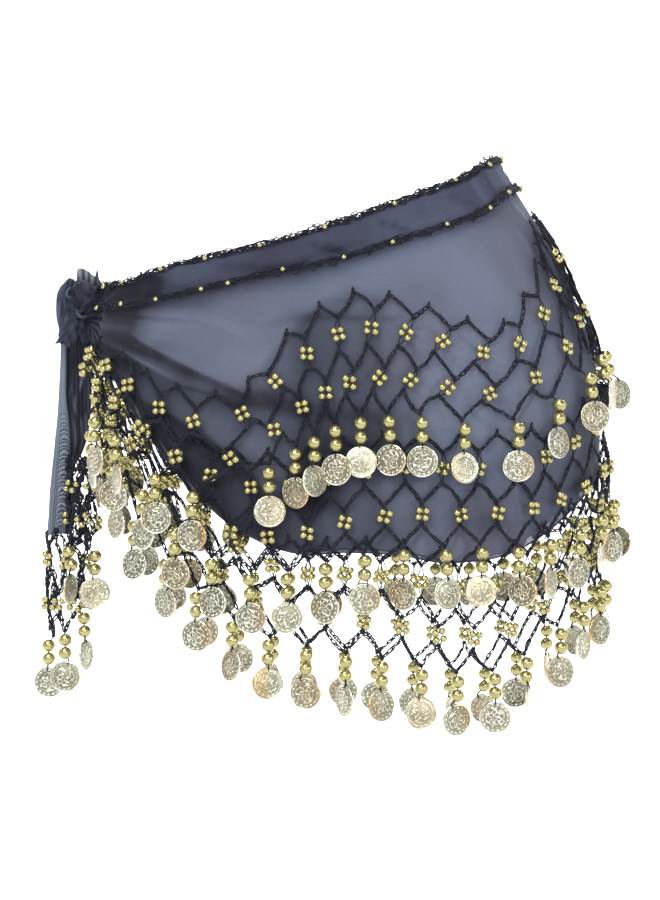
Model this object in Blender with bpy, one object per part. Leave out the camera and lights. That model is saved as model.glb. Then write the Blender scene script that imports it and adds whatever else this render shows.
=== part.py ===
"""Belly dance hip scarf, worn round the hips and tied in a knot at the wearer's right side.

A chiffon panel with a doubled waistband, two crochet edging cords, three tiers of crochet net with
bead and coin drops, the knot and the long tied end. Metres, +Z up, the front faces -Y. The origin is
the middle of the waist opening. Tables and driving dimensions are in millimetres and degrees.

Places on the garment are given as (along, height, out): millimetres of girth measured at hip level
from the knot round the front to the right side and back, height in Z, and distance out of the skin.
"""
import math

import bmesh
import bpy
import numpy as np

MM = 0.001

# ---- driving dimensions, millimetres ----
CLOTH = 1.2             # chiffon wall
BAND_CLOTH = 1.8        # doubled chiffon of the waistband
SEAM = 0.3              # clear space between pieces that are sewn together
CORD_RADIUS = 1.5       # crochet edging cord
CHAIN_HALF = 1.25       # half the width of one chain of the net
CHAIN_RIDGE = 2.2       # height of a chain over the cloth
NET_CLEAR = 0.95        # net over the chiffon
NET_STEP = 3.6          # one tier over the next where they overlap
BEAD = 8.0              # large bead, diameter
COIN = 19.2             # coin, diameter
COIN_THICK = 1.0
NECK = 1.3              # half the width of the thread between two beads
BUNCH_LAYER = 4.8       # one tier's drops over the next beside the knot
LINK_CLEAR = 2.6        # a link ends this far above the bottom chain's peak

# Sections of a general figure's hips, level cuts.
FORM_COLUMNS = ("height", "centre", "half_width", "half_depth")
FORM = (
    (-340, 30.0, 158.0, 112.0),
    (-230, 31.0, 161.0, 115.0),
    (-166, 31.0, 163.0, 116.0),
    (-133, 30.5, 163.5, 116.0),
    (-101, 30.0, 163.0, 115.0),
    (-75, 28.0, 160.0, 112.0),
    (-45, 24.0, 152.0, 107.0),
    (-16, 21.0, 142.0, 101.0),
    (8, 18.5, 129.5, 93.0),
    (43, 16.0, 111.0, 82.0),
    (60, 15.0, 104.0, 76.0),
)
SQUARENESS = 0.035      # how much fuller than an ellipse the sections are between their axes
HIP_HEIGHT = -133.0

# Heights of the sewing lines, from the knot (188 degrees) round the front to the right side (360).
# tier is a net's top line, foot the line that its drops hang from. The back is its mirror image.
LINE_COLUMNS = ("angle", "rim", "band", "tier1", "foot1", "tier2", "foot2", "tier3", "foot3", "hem")
LINES = (
    (183, -42, -54, -66, -98, -70, -115, -74, -130, -77),
    (198, -41, -54, -70, -104, -76, -122, -81, -137, -86),
    (210, -40, -54, -78, -118, -87, -138, -96, -160, -102),
    (222, -34, -52, -95, -142, -110, -164, -125, -196, -133),
    (234, -27, -47, -109, -168, -133, -199, -163, -229, -170),
    (246, -21, -40, -108, -168, -146, -219, -190, -254, -197),
    (258, -14, -33, -72, -145, -147, -220, -203, -267, -209),
    (270, -5, -27, -50, -126, -140, -211, -202, -273, -208),
    (282, 4, -18, -49, -123, -136, -206, -204, -278, -210),
    (294, 13, -9, -60, -127, -138, -206, -210, -285, -216),
    (306, 21, -1, -68, -127, -135, -205, -206, -283, -212),
    (318, 29, 8, -45, -112, -128, -200, -192, -264, -198),
    (330, 36, 18, -20, -96, -116, -192, -175, -243, -181),
    (345, 40, 23, -8, -83, -106, -180, -158, -229, -164),
    (360, 42, 25, -7, -80, -104, -176, -154, -226, -160),
)
BACK_DROP = 7.0         # the middle of the back hangs this much lower

# Soft folds of the chiffon: a line from one place to another, its half width and its rise.
FOLD_COLUMNS = ("from_angle", "from_height", "to_angle", "to_height", "half_width", "rise")
FOLDS = (
    (192, -62, 232, -78, 9, 2.6),
    (194, -70, 246, -108, 10, 3.4),
    (196, -66, 262, -128, 9, -1.8),
    (200, -84, 250, -160, 10, 2.6),
    (214, -100, 240, -180, 11, 2.2),
    (262, -60, 290, -150, 16, 1.6),
    (300, -20, 316, -160, 17, 1.8),
    (328, -30, 336, -150, 15, 1.6),
    (268, -160, 272, -208, 13, 2.0),
    (306, -160, 310, -212, 13, 2.2),
    (528, -62, 488, -80, 9, 2.4),
    (526, -72, 474, -112, 10, 3.2),
    (522, -84, 462, -150, 10, 2.4),
    (452, -40, 440, -150, 16, 1.8),
    (420, -30, 428, -170, 17, 2.0),
    (396, -30, 392, -160, 15, 1.6),
)
FOLD_FADE = 0.22        # part of a fold's length over which it dies away at each end

# Net columns.
HALF_STEPS = 72         # half columns from the knot round to the knot
SPLIT_STEP = 36         # the half column at the right side, where front and back nets meet
NET_START = 37.0        # the first and last column stand this far along from the knot
BUNCH_REACH = 80.0      # columns draw together over this much girth beside the knot
BUNCH_SHARE = 0.2       # and by this share
SPLIT_GAP = 2.4         # front and back nets end this far from the side seam
TIER_ROWS = (0.0, 0.155, 0.43, 0.626, 0.805, 1.0)   # peak, valley, link, valley, link, foot

# Drops: yaw of the coins, degrees, taken in turn.
COIN_TURNS = (8, -16, 24, -6, 38, -22, 12, 58, -30, 4, -12, 30, -48, 18, -4, 26)


# ---- the skin ----
def smooth_rows(x, xs, ys):
    """Cubic curve through (xs, ys), level-headed at the ends, read at x."""
    xs, ys = np.asarray(xs, float), np.asarray(ys, float)
    x = np.clip(x, xs[0], xs[-1])
    slopes = np.gradient(ys, xs)
    i = np.clip(np.searchsorted(xs, x) - 1, 0, len(xs) - 2)
    span = xs[i + 1] - xs[i]
    t = (x - xs[i]) / span
    h00 = 2 * t**3 - 3 * t**2 + 1
    h10 = t**3 - 2 * t**2 + t
    h01 = -2 * t**3 + 3 * t**2
    h11 = t**3 - t**2
    return h00 * ys[i] + h10 * span * slopes[i] + h01 * ys[i + 1] + h11 * span * slopes[i + 1]


def column(table, columns, name):
    """One named column of a table."""
    return [row[columns.index(name)] for row in table]


def form_at(name, height):
    """A named size of the hips' level section at a height."""
    return smooth_rows(height, column(FORM, FORM_COLUMNS, "height"), column(FORM, FORM_COLUMNS, name))


def section(angle, height):
    """X and Y of the skin, and its outward direction, at an angle in degrees."""
    turn = np.radians(angle)
    full = 1 + SQUARENESS * np.sin(2 * turn) ** 2
    wide, deep = form_at("half_width", height) * full, form_at("half_depth", height) * full
    across, along = np.cos(turn) / wide, np.sin(turn) / deep
    size = np.hypot(across, along)
    return form_at("centre", height) + wide * np.cos(turn), deep * np.sin(turn), across / size, along / size


def girth_table():
    """Angles from 180 to 540 degrees and the girth passed at hip level."""
    angles = np.linspace(180.0, 540.0, 721)
    x, y, _, _ = section(angles, HIP_HEIGHT)
    return angles, np.concatenate(([0.0], np.cumsum(np.hypot(np.diff(x), np.diff(y)))))


ANGLES, GIRTHS = girth_table()
GIRTH = GIRTHS[-1]


def angle_at(along):
    return np.interp(along, GIRTHS, ANGLES)


def along_at(angle):
    return np.interp(angle, ANGLES, GIRTHS)


def line(name, along):
    """Height of a sewing line; the back mirrors the front and hangs a little lower."""
    angle = angle_at(along)
    mirrored = 360.0 - np.abs(angle - 360.0)
    value = smooth_rows(mirrored, column(LINES, LINE_COLUMNS, "angle"), column(LINES, LINE_COLUMNS, name))
    if name in ("rim", "band"):
        return value
    behind = np.clip((angle - 360.0) / 180.0, 0.0, 1.0)
    return value - BACK_DROP * np.sin(np.pi * behind) ** 2


def fold_rise(along, height):
    """Sum of the folds: each a bell across its line that fades towards its ends."""
    rise = np.zeros(np.broadcast(along, height).shape)
    for from_angle, from_height, to_angle, to_height, half_width, top in FOLDS:
        start = np.array([along_at(from_angle), from_height])
        way = np.array([along_at(to_angle), to_height]) - start
        length = np.hypot(*way)
        way = way / length
        ds, dz = along - start[0], height - start[1]
        part = (ds * way[0] + dz * way[1]) / length
        off = ds * way[1] - dz * way[0]
        fade = np.clip(np.minimum(part, 1 - part) / FOLD_FADE, 0.0, 1.0)
        fade = fade * fade * (3 - 2 * fade)
        rise = rise + top * fade * np.exp(-0.5 * (off / half_width) ** 2)
    return rise


def on_hips(along, height, out):
    """Place on the garment in metres: the skin, its folds, and out along the level normal."""
    along, height, out = np.broadcast_arrays(*np.atleast_1d(along, height, out))
    x, y, nx, ny = section(angle_at(along), height)
    out = out + fold_rise(along, height)
    return np.stack([x + nx * out, y + ny * out, height + 0.0 * x], axis=-1) * MM


# ---- meshes ----
def material(name, colour, roughness, metallic=0.0):
    made = bpy.data.materials.new(name)
    made.use_nodes = True
    shader = made.node_tree.nodes["Principled BSDF"]
    shader.inputs["Base Color"].default_value = (*colour, 1.0)
    shader.inputs["Roughness"].default_value = roughness
    shader.inputs["Metallic"].default_value = metallic
    return made


def add_piece(name, points, faces, finish, smooth=False):
    """One closed piece from its points and faces, turned so that its faces point out."""
    mesh = bpy.data.meshes.new(name)
    mesh.from_pydata([tuple(point) for point in np.asarray(points, float)], [], faces)
    shape = bmesh.new()
    shape.from_mesh(mesh)
    bmesh.ops.triangulate(shape, faces=shape.faces)
    if shape.calc_volume(signed=True) < 0:
        bmesh.ops.reverse_faces(shape, faces=shape.faces)
    shape.to_mesh(mesh)
    shape.free()
    if smooth:
        mesh.shade_smooth()
        mesh.set_sharp_from_angle(angle=math.radians(50))
    mesh.materials.append(finish)
    piece = bpy.data.objects.new(name, mesh)
    bpy.context.scene.collection.objects.link(piece)
    return piece


def wall_faces(rows, columns):
    """Faces of a wall: an outer and an inner grid of points, joined round their edges."""
    def at(row, col, side):
        return side * rows * columns + row * columns + col

    faces = []
    for row in range(rows - 1):
        for col in range(columns - 1):
            for side in (0, 1):
                quad = [at(row, col, side), at(row + 1, col, side), at(row + 1, col + 1, side),
                        at(row, col + 1, side)]
                faces.append(quad if side == 0 else quad[::-1])
    for row in range(rows - 1):
        for col, order in ((0, 1), (columns - 1, -1)):
            quad = [at(row, col, 0), at(row, col, 1), at(row + 1, col, 1), at(row + 1, col, 0)]
            faces.append(quad[::order])
    for col in range(columns - 1):
        for row, order in ((0, -1), (rows - 1, 1)):
            quad = [at(row, col, 0), at(row, col, 1), at(row, col + 1, 1), at(row, col + 1, 0)]
            faces.append(quad[::order])
    return faces


def add_wall(name, place, across, down, thick, finish):
    """A wall of cloth: place(across, down, out) on a grid, with its inner face at out = 0."""
    down_grid, across_grid = np.meshgrid(down, across, indexing="ij")
    outer = place(across_grid, down_grid, thick)
    inner = place(across_grid, down_grid, 0.0)
    points = np.concatenate([outer.reshape(-1, 3), inner.reshape(-1, 3)])
    return add_piece(name, points, wall_faces(len(down), len(across)), finish, smooth=True)


def between(upper, lower):
    """A place function between two sewing lines: down runs from 0 at the upper to 1 at the lower."""
    def place(along, down, out):
        top, foot = line(upper, along), line(lower, along) if isinstance(lower, str) else lower
        return on_hips(along, top + (foot - top) * down, out)

    return place


def add_cord(name, route, radius, finish):
    """A cord with a three-sided section along a route of points in metres."""
    route = np.asarray(route)
    count = len(route)
    forward = np.gradient(route, axis=0)
    forward /= np.linalg.norm(forward, axis=1, keepdims=True)
    side = np.cross(forward, [0.0, 0.0, 1.0])
    side /= np.linalg.norm(side, axis=1, keepdims=True)
    up = np.cross(side, forward)
    rings = []
    for turn in np.radians((90.0, 210.0, 330.0)):
        rings.append(route + radius * MM * (np.cos(turn) * side + np.sin(turn) * up))
    points = np.stack(rings, axis=1).reshape(-1, 3)
    faces = [[0, 1, 2], [3 * count - 1, 3 * count - 2, 3 * count - 3]]
    for i in range(count - 1):
        for k in range(3):
            n = (k + 1) % 3
            faces.append([3 * i + k, 3 * i + 3 + k, 3 * i + 3 + n, 3 * i + n])
    return add_piece(name, points, faces, finish, smooth=True)


class Net:
    """Chains of a net as one solid: three-sided chains that share mitred corners at each knot."""

    def __init__(self, place):
        self.place = place
        self.spots = {}
        self.links = []
        self.points = []
        self.faces = []

    def spot(self, key, along, height, out):
        self.spots[key] = (np.array([along, height], float), out)

    def join(self, first, second):
        self.links.append((first, second))

    def _add(self, along, height, out):
        self.points.append(self.place(along, height, out)[0])
        return len(self.points) - 1

    def build(self, hanging=()):
        """Works out every corner; returns the open sections under the spots that drops hang from."""
        neighbours = {key: [] for key in self.spots}
        for first, second in self.links:
            for one, other in ((first, second), (second, first)):
                way = self.spots[other][0] - self.spots[one][0]
                neighbours[one].append((math.atan2(way[1], way[0]), other))
        for key in hanging:
            neighbours[key].append((-math.pi / 2, "drop"))
        sections, sockets = {}, {}
        for key, around in neighbours.items():
            around.sort(key=lambda item: item[0] % (2 * math.pi))
            middle, out = self.spots[key]
            corners = [self._corner(middle, out, around, i) for i in range(len(around))]
            if len(around) == 1:
                corners = [self._side(middle, out, around[0][0], turn) for turn in (1, -1)]
            apex = self._add(*middle, out + CHAIN_RIDGE)
            for i, (_, other) in enumerate(around):
                left, right = corners[i], corners[i - 1]
                if len(around) == 1:
                    left, right = corners
                sections[(key, other)] = (left, apex, right)
            if len(around) > 2:
                self.faces.append(corners[::-1])
            if len(around) == 1:
                self.faces.append([corners[0], corners[1], apex])
            if (key, "drop") in sections:
                sockets[key] = sections[(key, "drop")]
        for first, second in self.links:
            left, top, right = sections[(first, second)]
            far_right, far_top, far_left = sections[(second, first)]
            self.faces.append([far_left, far_right, right, left])
            self.faces.append([left, top, far_top, far_left])
            self.faces.append([top, right, far_right, far_top])
        return sockets

    def _side(self, middle, out, turn, side):
        way = np.array([-math.sin(turn), math.cos(turn)]) * side * CHAIN_HALF
        return self._add(*(middle + way), out)

    def _corner(self, middle, out, around, i):
        """Mitre between chain i and the next one anticlockwise."""
        if len(around) == 1:
            return None
        first, second = around[i][0], around[(i + 1) % len(around)][0]
        opening = (second - first) % (2 * math.pi)
        half = first + opening / 2
        reach = CHAIN_HALF / max(math.sin(opening / 2), 0.45)
        return self._add(*(middle + reach * np.array([math.cos(half), math.sin(half)])), out)

    def hang(self, socket, rings):
        """Hangs four-sided rings, each a list of four places, from an open section."""
        left, top, right = socket
        names = [[self._add(*corner) for corner in ring] for ring in rings]
        plus, front, minus, back = names[0]
        self.faces += [[left, top, front, plus], [top, right, minus, front]]
        self.faces += [[left, plus, back], [left, back, right], [right, back, minus]]
        for upper, lower in zip(names, names[1:]):
            for k in range(4):
                n = (k + 1) % 4
                self.faces.append([upper[k], upper[n], lower[n], lower[k]])
        self.faces.append(names[-1])


def ring(along, height, out, half_width, half_thick, turn):
    """Four corners round a drop's thread: right, front, left, back, turned about the thread."""
    c, s = math.cos(math.radians(turn)), math.sin(math.radians(turn))
    ways = ((half_width * c, half_width * s), (-half_thick * s, half_thick * c),
            (-half_width * c, -half_width * s), (half_thick * s, -half_thick * c))
    return [(along + way[0], height, out + way[1]) for way in ways]


def drop_rings(along, foot, floor, extra, turn):
    """Two beads and a coin below a foot; floor(height) is how far out the layers beneath reach."""
    first = foot - 1.6 - BEAD / 2
    second = first - BEAD - 0.2
    coin = second - BEAD / 2 - 0.8 - COIN / 2
    half_coin = COIN / 2
    bead_out = max(floor(first), floor(second)) + BEAD / 2 + 0.4 + extra
    coin_out = max(bead_out, floor(coin) + 0.9 + half_coin * abs(math.sin(math.radians(turn))))
    shoulder = half_coin * 0.52
    slope = half_coin * 0.82
    return [
        ring(along, first, bead_out, BEAD / 2, BEAD / 2, 0),
        ring(along, (first + second) / 2, bead_out, NECK, NECK, 0),
        ring(along, second, bead_out, BEAD / 2, BEAD / 2, 0),
        ring(along, coin + slope, coin_out, shoulder, COIN_THICK / 2, turn),
        ring(along, coin, coin_out, half_coin, COIN_THICK / 2, turn),
        ring(along, coin - slope, coin_out, shoulder, COIN_THICK / 2, turn),
    ]


# ---- the three tiers ----
def column_places():
    """Girth of each half column: even, but drawn together beside the knot at both ends."""
    steps = np.linspace(NET_START, GIRTH - NET_START, 400)
    near = np.minimum(steps - NET_START, GIRTH - NET_START - steps)
    density = 1.0 / (1.0 - BUNCH_SHARE * np.exp(-((near / BUNCH_REACH) ** 2)))
    passed = np.concatenate(([0.0], np.cumsum((density[1:] + density[:-1]) / 2)))
    return np.interp(np.linspace(0.0, passed[-1], HALF_STEPS + 1), passed, steps)


COLUMNS = column_places()


def layers_under(tier, along, height):
    """How many lower tiers lie beneath this one here; each is climbed just above its top line."""
    count = 0.0
    for lower in range(tier + 1, 4):
        count += float(np.clip((line(f"tier{lower}", along) - height + 16.0) / 12.0, 0.0, 1.0))
    return count


def net_out(tier, along, height):
    return CLOTH + NET_CLEAR + NET_STEP * layers_under(tier, along, height)


def row_height(tier, along, row):
    top, foot = line(f"tier{tier}", along), line(f"foot{tier}", along)
    return float(top + (foot - top) * TIER_ROWS[row])


def is_peak(tier, step):
    """Whether the top chain is at a peak: the middle tier is half a column out of step."""
    return (step + (tier == 2)) % 2 == 0


def steps_of(side):
    return range(0, SPLIT_STEP + 1) if side == "front" else range(SPLIT_STEP, HALF_STEPS + 1)


def step_along(step, side):
    """Girth of a half column; at the side seam each net stops a little short."""
    shift = 0.0
    if step == SPLIT_STEP:
        shift = -SPLIT_GAP if side == "front" else SPLIT_GAP
    return float(COLUMNS[step] + shift)


def add_tier_net(tier, side, finish):
    """Top chain, links, middle chain and links of one tier."""
    net = Net(on_hips)
    steps = steps_of(side)
    for step in steps:
        along = step_along(step, side)
        peak = is_peak(tier, step)
        for level, row in (("top", 0 if peak else 1), ("mid", 3 if peak else 2)):
            height = row_height(tier, along, row)
            net.spot((level, step), along, height, net_out(tier, along, height))
        owned = step != SPLIT_STEP or side == "back"
        if not peak and owned:
            net.join(("top", step), ("mid", step))
        if peak and owned:
            height = row_height(tier, along, 4) + LINK_CLEAR
            net.spot(("end", step), along, height, net_out(tier, along, height))
            net.join(("mid", step), ("end", step))
    for step in steps[:-1]:
        for level in ("top", "mid"):
            net.join((level, step), (level, step + 1))
    net.build()
    return add_piece(f"net{tier}_{side}", net.points, net.faces, finish)


def bunched(along):
    """1 beside the knot, 0 past the gathers."""
    near = min(along, GIRTH - along)
    return float(np.clip((150.0 - near) / 70.0, 0.0, 1.0))


def add_tier_drops(tier, side, finish):
    """Bottom chain of one tier with its bead and coin drops."""
    net = Net(on_hips)
    steps = steps_of(side)
    hanging = []
    for step in steps:
        along = step_along(step, side)
        peak = is_peak(tier, step)
        height = row_height(tier, along, 4 if peak else 5)
        net.spot(step, along, height, net_out(tier, along, height))
        if not peak and 0 < step < HALF_STEPS and (step != SPLIT_STEP or side == "back"):
            hanging.append(step)
    for step in steps[:-1]:
        net.join(step, step + 1)
    sockets = net.build(hanging)
    for step in hanging:
        along = step_along(step, side)
        foot = row_height(tier, along, 5)
        turn = COIN_TURNS[(step // 2 + 5 * tier) % len(COIN_TURNS)]
        if bunched(along) > 0:
            turn *= 0.5
        extra = (3 - tier) * BUNCH_LAYER * bunched(along)
        rings = drop_rings(along, foot, lambda height: net_out(tier, along, height), extra, turn)
        net.hang(sockets[step], rings)
    return add_piece(f"drops{tier}_{side}", net.points, net.faces, finish)


# ---- the knot and the tied end ----
KNOT = (-146.0, -1.0, -53.0)            # middle of the knot
KNOT_HALF = (14.5, 17.0, 23.0)          # its half sizes
KNOT_RIPPLES = 5
KNOT_CLEAR = 0.35                       # the knot over the waistband that it presses on
EAR = (-142.0, -3.0)                    # middle of the short end's foot, x and y
EAR_TIP = -24.5                         # height of its tips
EAR_CLEAR = 0.7
TAIL_TOP, TAIL_HEM = -76.6, -202.0      # the long end's chiffon
TAIL_COLUMNS = ("height", "left", "right", "front", "pleat")
TAIL = (
    (-76, -158.0, -138.5, -3.0, 2.4),
    (-120, -160.5, -137.5, -4.0, 3.4),
    (-160, -163.0, -140.0, -5.0, 4.0),
    (-202, -165.5, -150.0, -6.0, 3.6),
)
TAIL_PLEATS = 3
TAIL_NETS_COLUMNS = ("name", "centre", "front", "radius", "top", "foot", "columns", "drops_over")
TAIL_NETS = (
    ("upper", -141.0, -19.6, 8.5, -152.0, -208.0, 2, 2.4),
    ("lower", -150.5, -14.7, 13.0, -209.0, -266.0, 3, 0.0),
)
TAIL_TURNS = (20, -14, 32, -24, 10)


def skin_left(height):
    """X of the cloth's outer face on the knot's side."""
    return form_at("centre", height) - form_at("half_width", height) - BAND_CLOTH


def add_knot(finish):
    """A ruffled ball, pressed flat where it lies on the cloth."""
    around, down = 20, 11
    turn = np.linspace(0.0, 2 * np.pi, around, endpoint=False)
    fall = np.linspace(0.0, np.pi, down)[1:-1]
    fall_grid, turn_grid = np.meshgrid(fall, turn, indexing="ij")
    ripple = 1 + 0.10 * np.sin(KNOT_RIPPLES * turn_grid + 2.0 * fall_grid) * np.sin(fall_grid)
    ripple += 0.05 * np.cos(3 * fall_grid)
    height = KNOT[2] + KNOT_HALF[2] * np.cos(fall_grid)
    x = KNOT[0] + KNOT_HALF[0] * ripple * np.sin(fall_grid) * np.cos(turn_grid)
    y = KNOT[1] + KNOT_HALF[1] * ripple * np.sin(fall_grid) * np.sin(turn_grid)
    x = np.minimum(x, skin_left(height) - KNOT_CLEAR)
    points = np.stack([x, y, height], axis=-1).reshape(-1, 3)
    poles = [(KNOT[0], KNOT[1], KNOT[2] + KNOT_HALF[2]), (KNOT[0], KNOT[1], KNOT[2] - KNOT_HALF[2])]
    points = np.concatenate([points, poles]) * MM
    rows = down - 2
    top, foot = rows * around, rows * around + 1
    faces = []
    for col in range(around):
        n = (col + 1) % around
        faces.append([top, col, n])
        faces.append([foot, (rows - 1) * around + n, (rows - 1) * around + col])
        for row in range(rows - 1):
            a, b = row * around, (row + 1) * around
            faces.append([a + col, b + col, b + n, a + n])
    return add_piece("knot", points, faces, finish, smooth=True)


def add_ear(finish):
    """The short end, a folded leaf that stands up out of the knot and comes to two points."""
    across = np.linspace(-1.0, 1.0, 9)
    down = np.linspace(0.0, 1.0, 4)

    def place(part, fallen, out):
        x = EAR[0] + 11.0 * part * (1.0 - 0.2 * fallen)
        y = EAR[1] + 3.2 * np.cos(1.6 * np.pi * part) - out
        off = ((x - KNOT[0]) / (1.12 * KNOT_HALF[0])) ** 2 + ((y - KNOT[1]) / (1.12 * KNOT_HALF[1])) ** 2
        seat = KNOT[2] + (KNOT_HALF[2] + EAR_CLEAR) * np.sqrt(np.maximum(1 - off, 0.05))
        tip = EAR_TIP - 6.0 * np.abs(part - 0.1) + 1.6 * np.cos(2.4 * np.pi * part)
        height = seat + (tip - seat) * (1 - fallen)
        return np.stack(np.broadcast_arrays(x, y, height), axis=-1) * MM

    return add_wall("knot_ear", place, across, down, 2.0, finish)


def add_tail(finish):
    """The long end's chiffon: a strip in upright pleats, wider and flatter towards its hem."""
    heights = column(TAIL, TAIL_COLUMNS, "height")

    def size(name, height):
        return smooth_rows(height, heights[::-1], column(TAIL, TAIL_COLUMNS, name)[::-1])

    def place(part, down, out):
        height = TAIL_TOP + (TAIL_HEM - TAIL_TOP) * down
        x = size("left", height) + (size("right", height) - size("left", height)) * part
        y = size("front", height) + size("pleat", height) * np.cos(2 * np.pi * TAIL_PLEATS * part) - out
        return np.stack(np.broadcast_arrays(x, y, height), axis=-1) * MM

    return add_wall("tail_cloth", place, np.linspace(0.0, 1.0, 19), np.linspace(0.0, 1.0, 7), 1.6, finish)


def add_tail_net(name, centre, front, radius, top, foot, columns, drops_over, finish, drop_finish):
    """One net of the long end, rolled round to the front, and its drops."""
    def place(along, height, out):
        turn = np.atleast_1d(along) / radius
        x = centre + (radius + out) * np.sin(turn)
        y = front + radius - (radius + out) * np.cos(turn)
        return np.stack(np.broadcast_arrays(x, y, height), axis=-1) * MM

    half_steps = 2 * columns
    half_girth = radius * math.radians(78)
    places = np.linspace(-half_girth, half_girth, half_steps + 1)
    heights = [top + (foot - top) * share for share in TIER_ROWS]
    net, fringe = Net(place), Net(place)
    for step, along in enumerate(places):
        peak = step % 2 == 0
        net.spot(("top", step), along, heights[0 if peak else 1], 0.0)
        net.spot(("mid", step), along, heights[3 if peak else 2], 0.0)
        if peak:
            net.spot(("end", step), along, heights[4] + LINK_CLEAR, 0.0)
            net.join(("mid", step), ("end", step))
        else:
            net.join(("top", step), ("mid", step))
        fringe.spot(step, along, heights[4 if peak else 5], 0.0)
    for step in range(half_steps):
        net.join(("top", step), ("top", step + 1))
        net.join(("mid", step), ("mid", step + 1))
        fringe.join(step, step + 1)
    net.build()
    hanging = range(1, half_steps, 2)
    sockets = fringe.build(hanging)
    for step in hanging:
        turn = TAIL_TURNS[step % len(TAIL_TURNS)]
        rings = drop_rings(places[step], heights[5], lambda height: drops_over, 0.0, turn)
        fringe.hang(sockets[step], rings)
    add_piece(f"tail_net_{name}", net.points, net.faces, finish)
    add_piece(f"tail_drops_{name}", fringe.points, fringe.faces, drop_finish)


# ---- the scarf ----
PANEL_ALONGS = 65       # points round the chiffon panel
PANEL_ROWS = 10
PANEL_START = 8.0       # the panel's ends stand this far along from the middle of the knot
CORD_POINTS = 61


def main():
    for old in list(bpy.data.objects):
        bpy.data.objects.remove(old, do_unlink=True)
    chiffon = material("chiffon", (0.10, 0.11, 0.16), 0.7)
    doubled = material("chiffon_doubled", (0.05, 0.05, 0.08), 0.75)
    yarn = material("yarn", (0.012, 0.012, 0.02), 0.85)
    gold = material("gold", (0.83, 0.65, 0.30), 0.3, 1.0)

    round_hips = np.linspace(PANEL_START, GIRTH - PANEL_START, PANEL_ALONGS)

    def panel(along, down, out):
        return between("band", "hem")(along, down, out) - np.array([0.0, 0.0, SEAM * MM])

    add_wall("chiffon_panel", panel, round_hips, np.linspace(0.0, 1.0, PANEL_ROWS), CLOTH, chiffon)
    add_wall("waistband", between("rim", "band"), round_hips, np.linspace(0.0, 1.0, 3), BAND_CLOTH, doubled)

    cord_along = np.linspace(PANEL_START + 8, GIRTH - PANEL_START - 8, CORD_POINTS)
    top_route = on_hips(cord_along, line("rim", cord_along) + CORD_RADIUS / 2 + 2 * SEAM, BAND_CLOTH / 2)
    add_cord("edge_cord_top", top_route, CORD_RADIUS, yarn)
    low_route = on_hips(cord_along, line("band", cord_along), BAND_CLOTH + CORD_RADIUS + SEAM + 0.3)
    add_cord("edge_cord_lower", low_route, CORD_RADIUS, yarn)

    for tier in (1, 2, 3):
        for side in ("front", "back"):
            add_tier_net(tier, side, yarn)
            add_tier_drops(tier, side, gold)

    add_knot(doubled)
    add_ear(doubled)
    add_tail(doubled)
    for row in TAIL_NETS:
        add_tail_net(*row, yarn, gold)


main()
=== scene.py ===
"""Looks of the belly dance hip scarf: chiffon, crochet net, gilt beads and stamped coins.

The scarf's places are (along, height, out) in millimetres: girth from the knot round the front to the
right side and the back, height in Z, and distance out of the skin that the chiffon lies on.
"""
import math

import bpy
import numpy as np
from bpy.props import FloatProperty, FloatVectorProperty, PointerProperty
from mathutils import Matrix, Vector


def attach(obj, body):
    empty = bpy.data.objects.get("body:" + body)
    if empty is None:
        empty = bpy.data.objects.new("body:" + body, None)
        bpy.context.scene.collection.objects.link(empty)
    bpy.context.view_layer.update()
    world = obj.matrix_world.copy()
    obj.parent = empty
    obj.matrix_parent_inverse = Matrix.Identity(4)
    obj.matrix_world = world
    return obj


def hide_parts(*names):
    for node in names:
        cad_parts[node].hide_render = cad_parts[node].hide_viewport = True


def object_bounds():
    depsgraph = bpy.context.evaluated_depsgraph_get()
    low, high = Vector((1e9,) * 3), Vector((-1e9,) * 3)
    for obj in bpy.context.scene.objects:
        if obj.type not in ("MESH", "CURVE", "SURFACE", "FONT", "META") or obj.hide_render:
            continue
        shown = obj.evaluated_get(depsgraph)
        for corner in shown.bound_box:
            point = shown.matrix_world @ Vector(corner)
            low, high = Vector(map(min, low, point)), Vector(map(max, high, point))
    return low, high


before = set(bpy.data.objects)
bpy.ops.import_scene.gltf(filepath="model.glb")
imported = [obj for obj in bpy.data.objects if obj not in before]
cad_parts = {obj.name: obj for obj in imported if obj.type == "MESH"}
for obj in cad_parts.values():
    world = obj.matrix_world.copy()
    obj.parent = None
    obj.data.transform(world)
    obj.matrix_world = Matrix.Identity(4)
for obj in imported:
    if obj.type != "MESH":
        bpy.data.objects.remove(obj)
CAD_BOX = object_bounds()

bl_info = {
    "name": "Belly dance hip scarf",
    "version": (1, 0, 0),
    "blender": (4, 5, 0),
    "location": "3D View > Sidebar > Scarf",
    "description": "Chiffon hip scarf with tiers of crochet net, beads and coins",
    "category": "Add Mesh",
}

MM = 0.001

# ---- the worn form, as the solids have it, in millimetres and degrees ----
CLOTH = 1.2             # chiffon wall of the solid
BAND_CLOTH = 1.8        # wall of the solid's waistband
NET_CLEAR = 0.95        # net over the chiffon
NET_STEP = 3.6          # one tier over the next where they overlap
BUNCH_LAYER = 4.8       # one tier's drops over the next beside the knot

FORM_COLUMNS = ("height", "centre", "half_width", "half_depth")
FORM = (
    (-340, 30.0, 158.0, 112.0),
    (-230, 31.0, 161.0, 115.0),
    (-166, 31.0, 163.0, 116.0),
    (-133, 30.5, 163.5, 116.0),
    (-101, 30.0, 163.0, 115.0),
    (-75, 28.0, 160.0, 112.0),
    (-45, 24.0, 152.0, 107.0),
    (-16, 21.0, 142.0, 101.0),
    (8, 18.5, 129.5, 93.0),
    (43, 16.0, 111.0, 82.0),
    (60, 15.0, 104.0, 76.0),
)
SQUARENESS = 0.035      # how much fuller than an ellipse a level section is
HIP_HEIGHT = -133.0     # height at which the girth is measured

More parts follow.
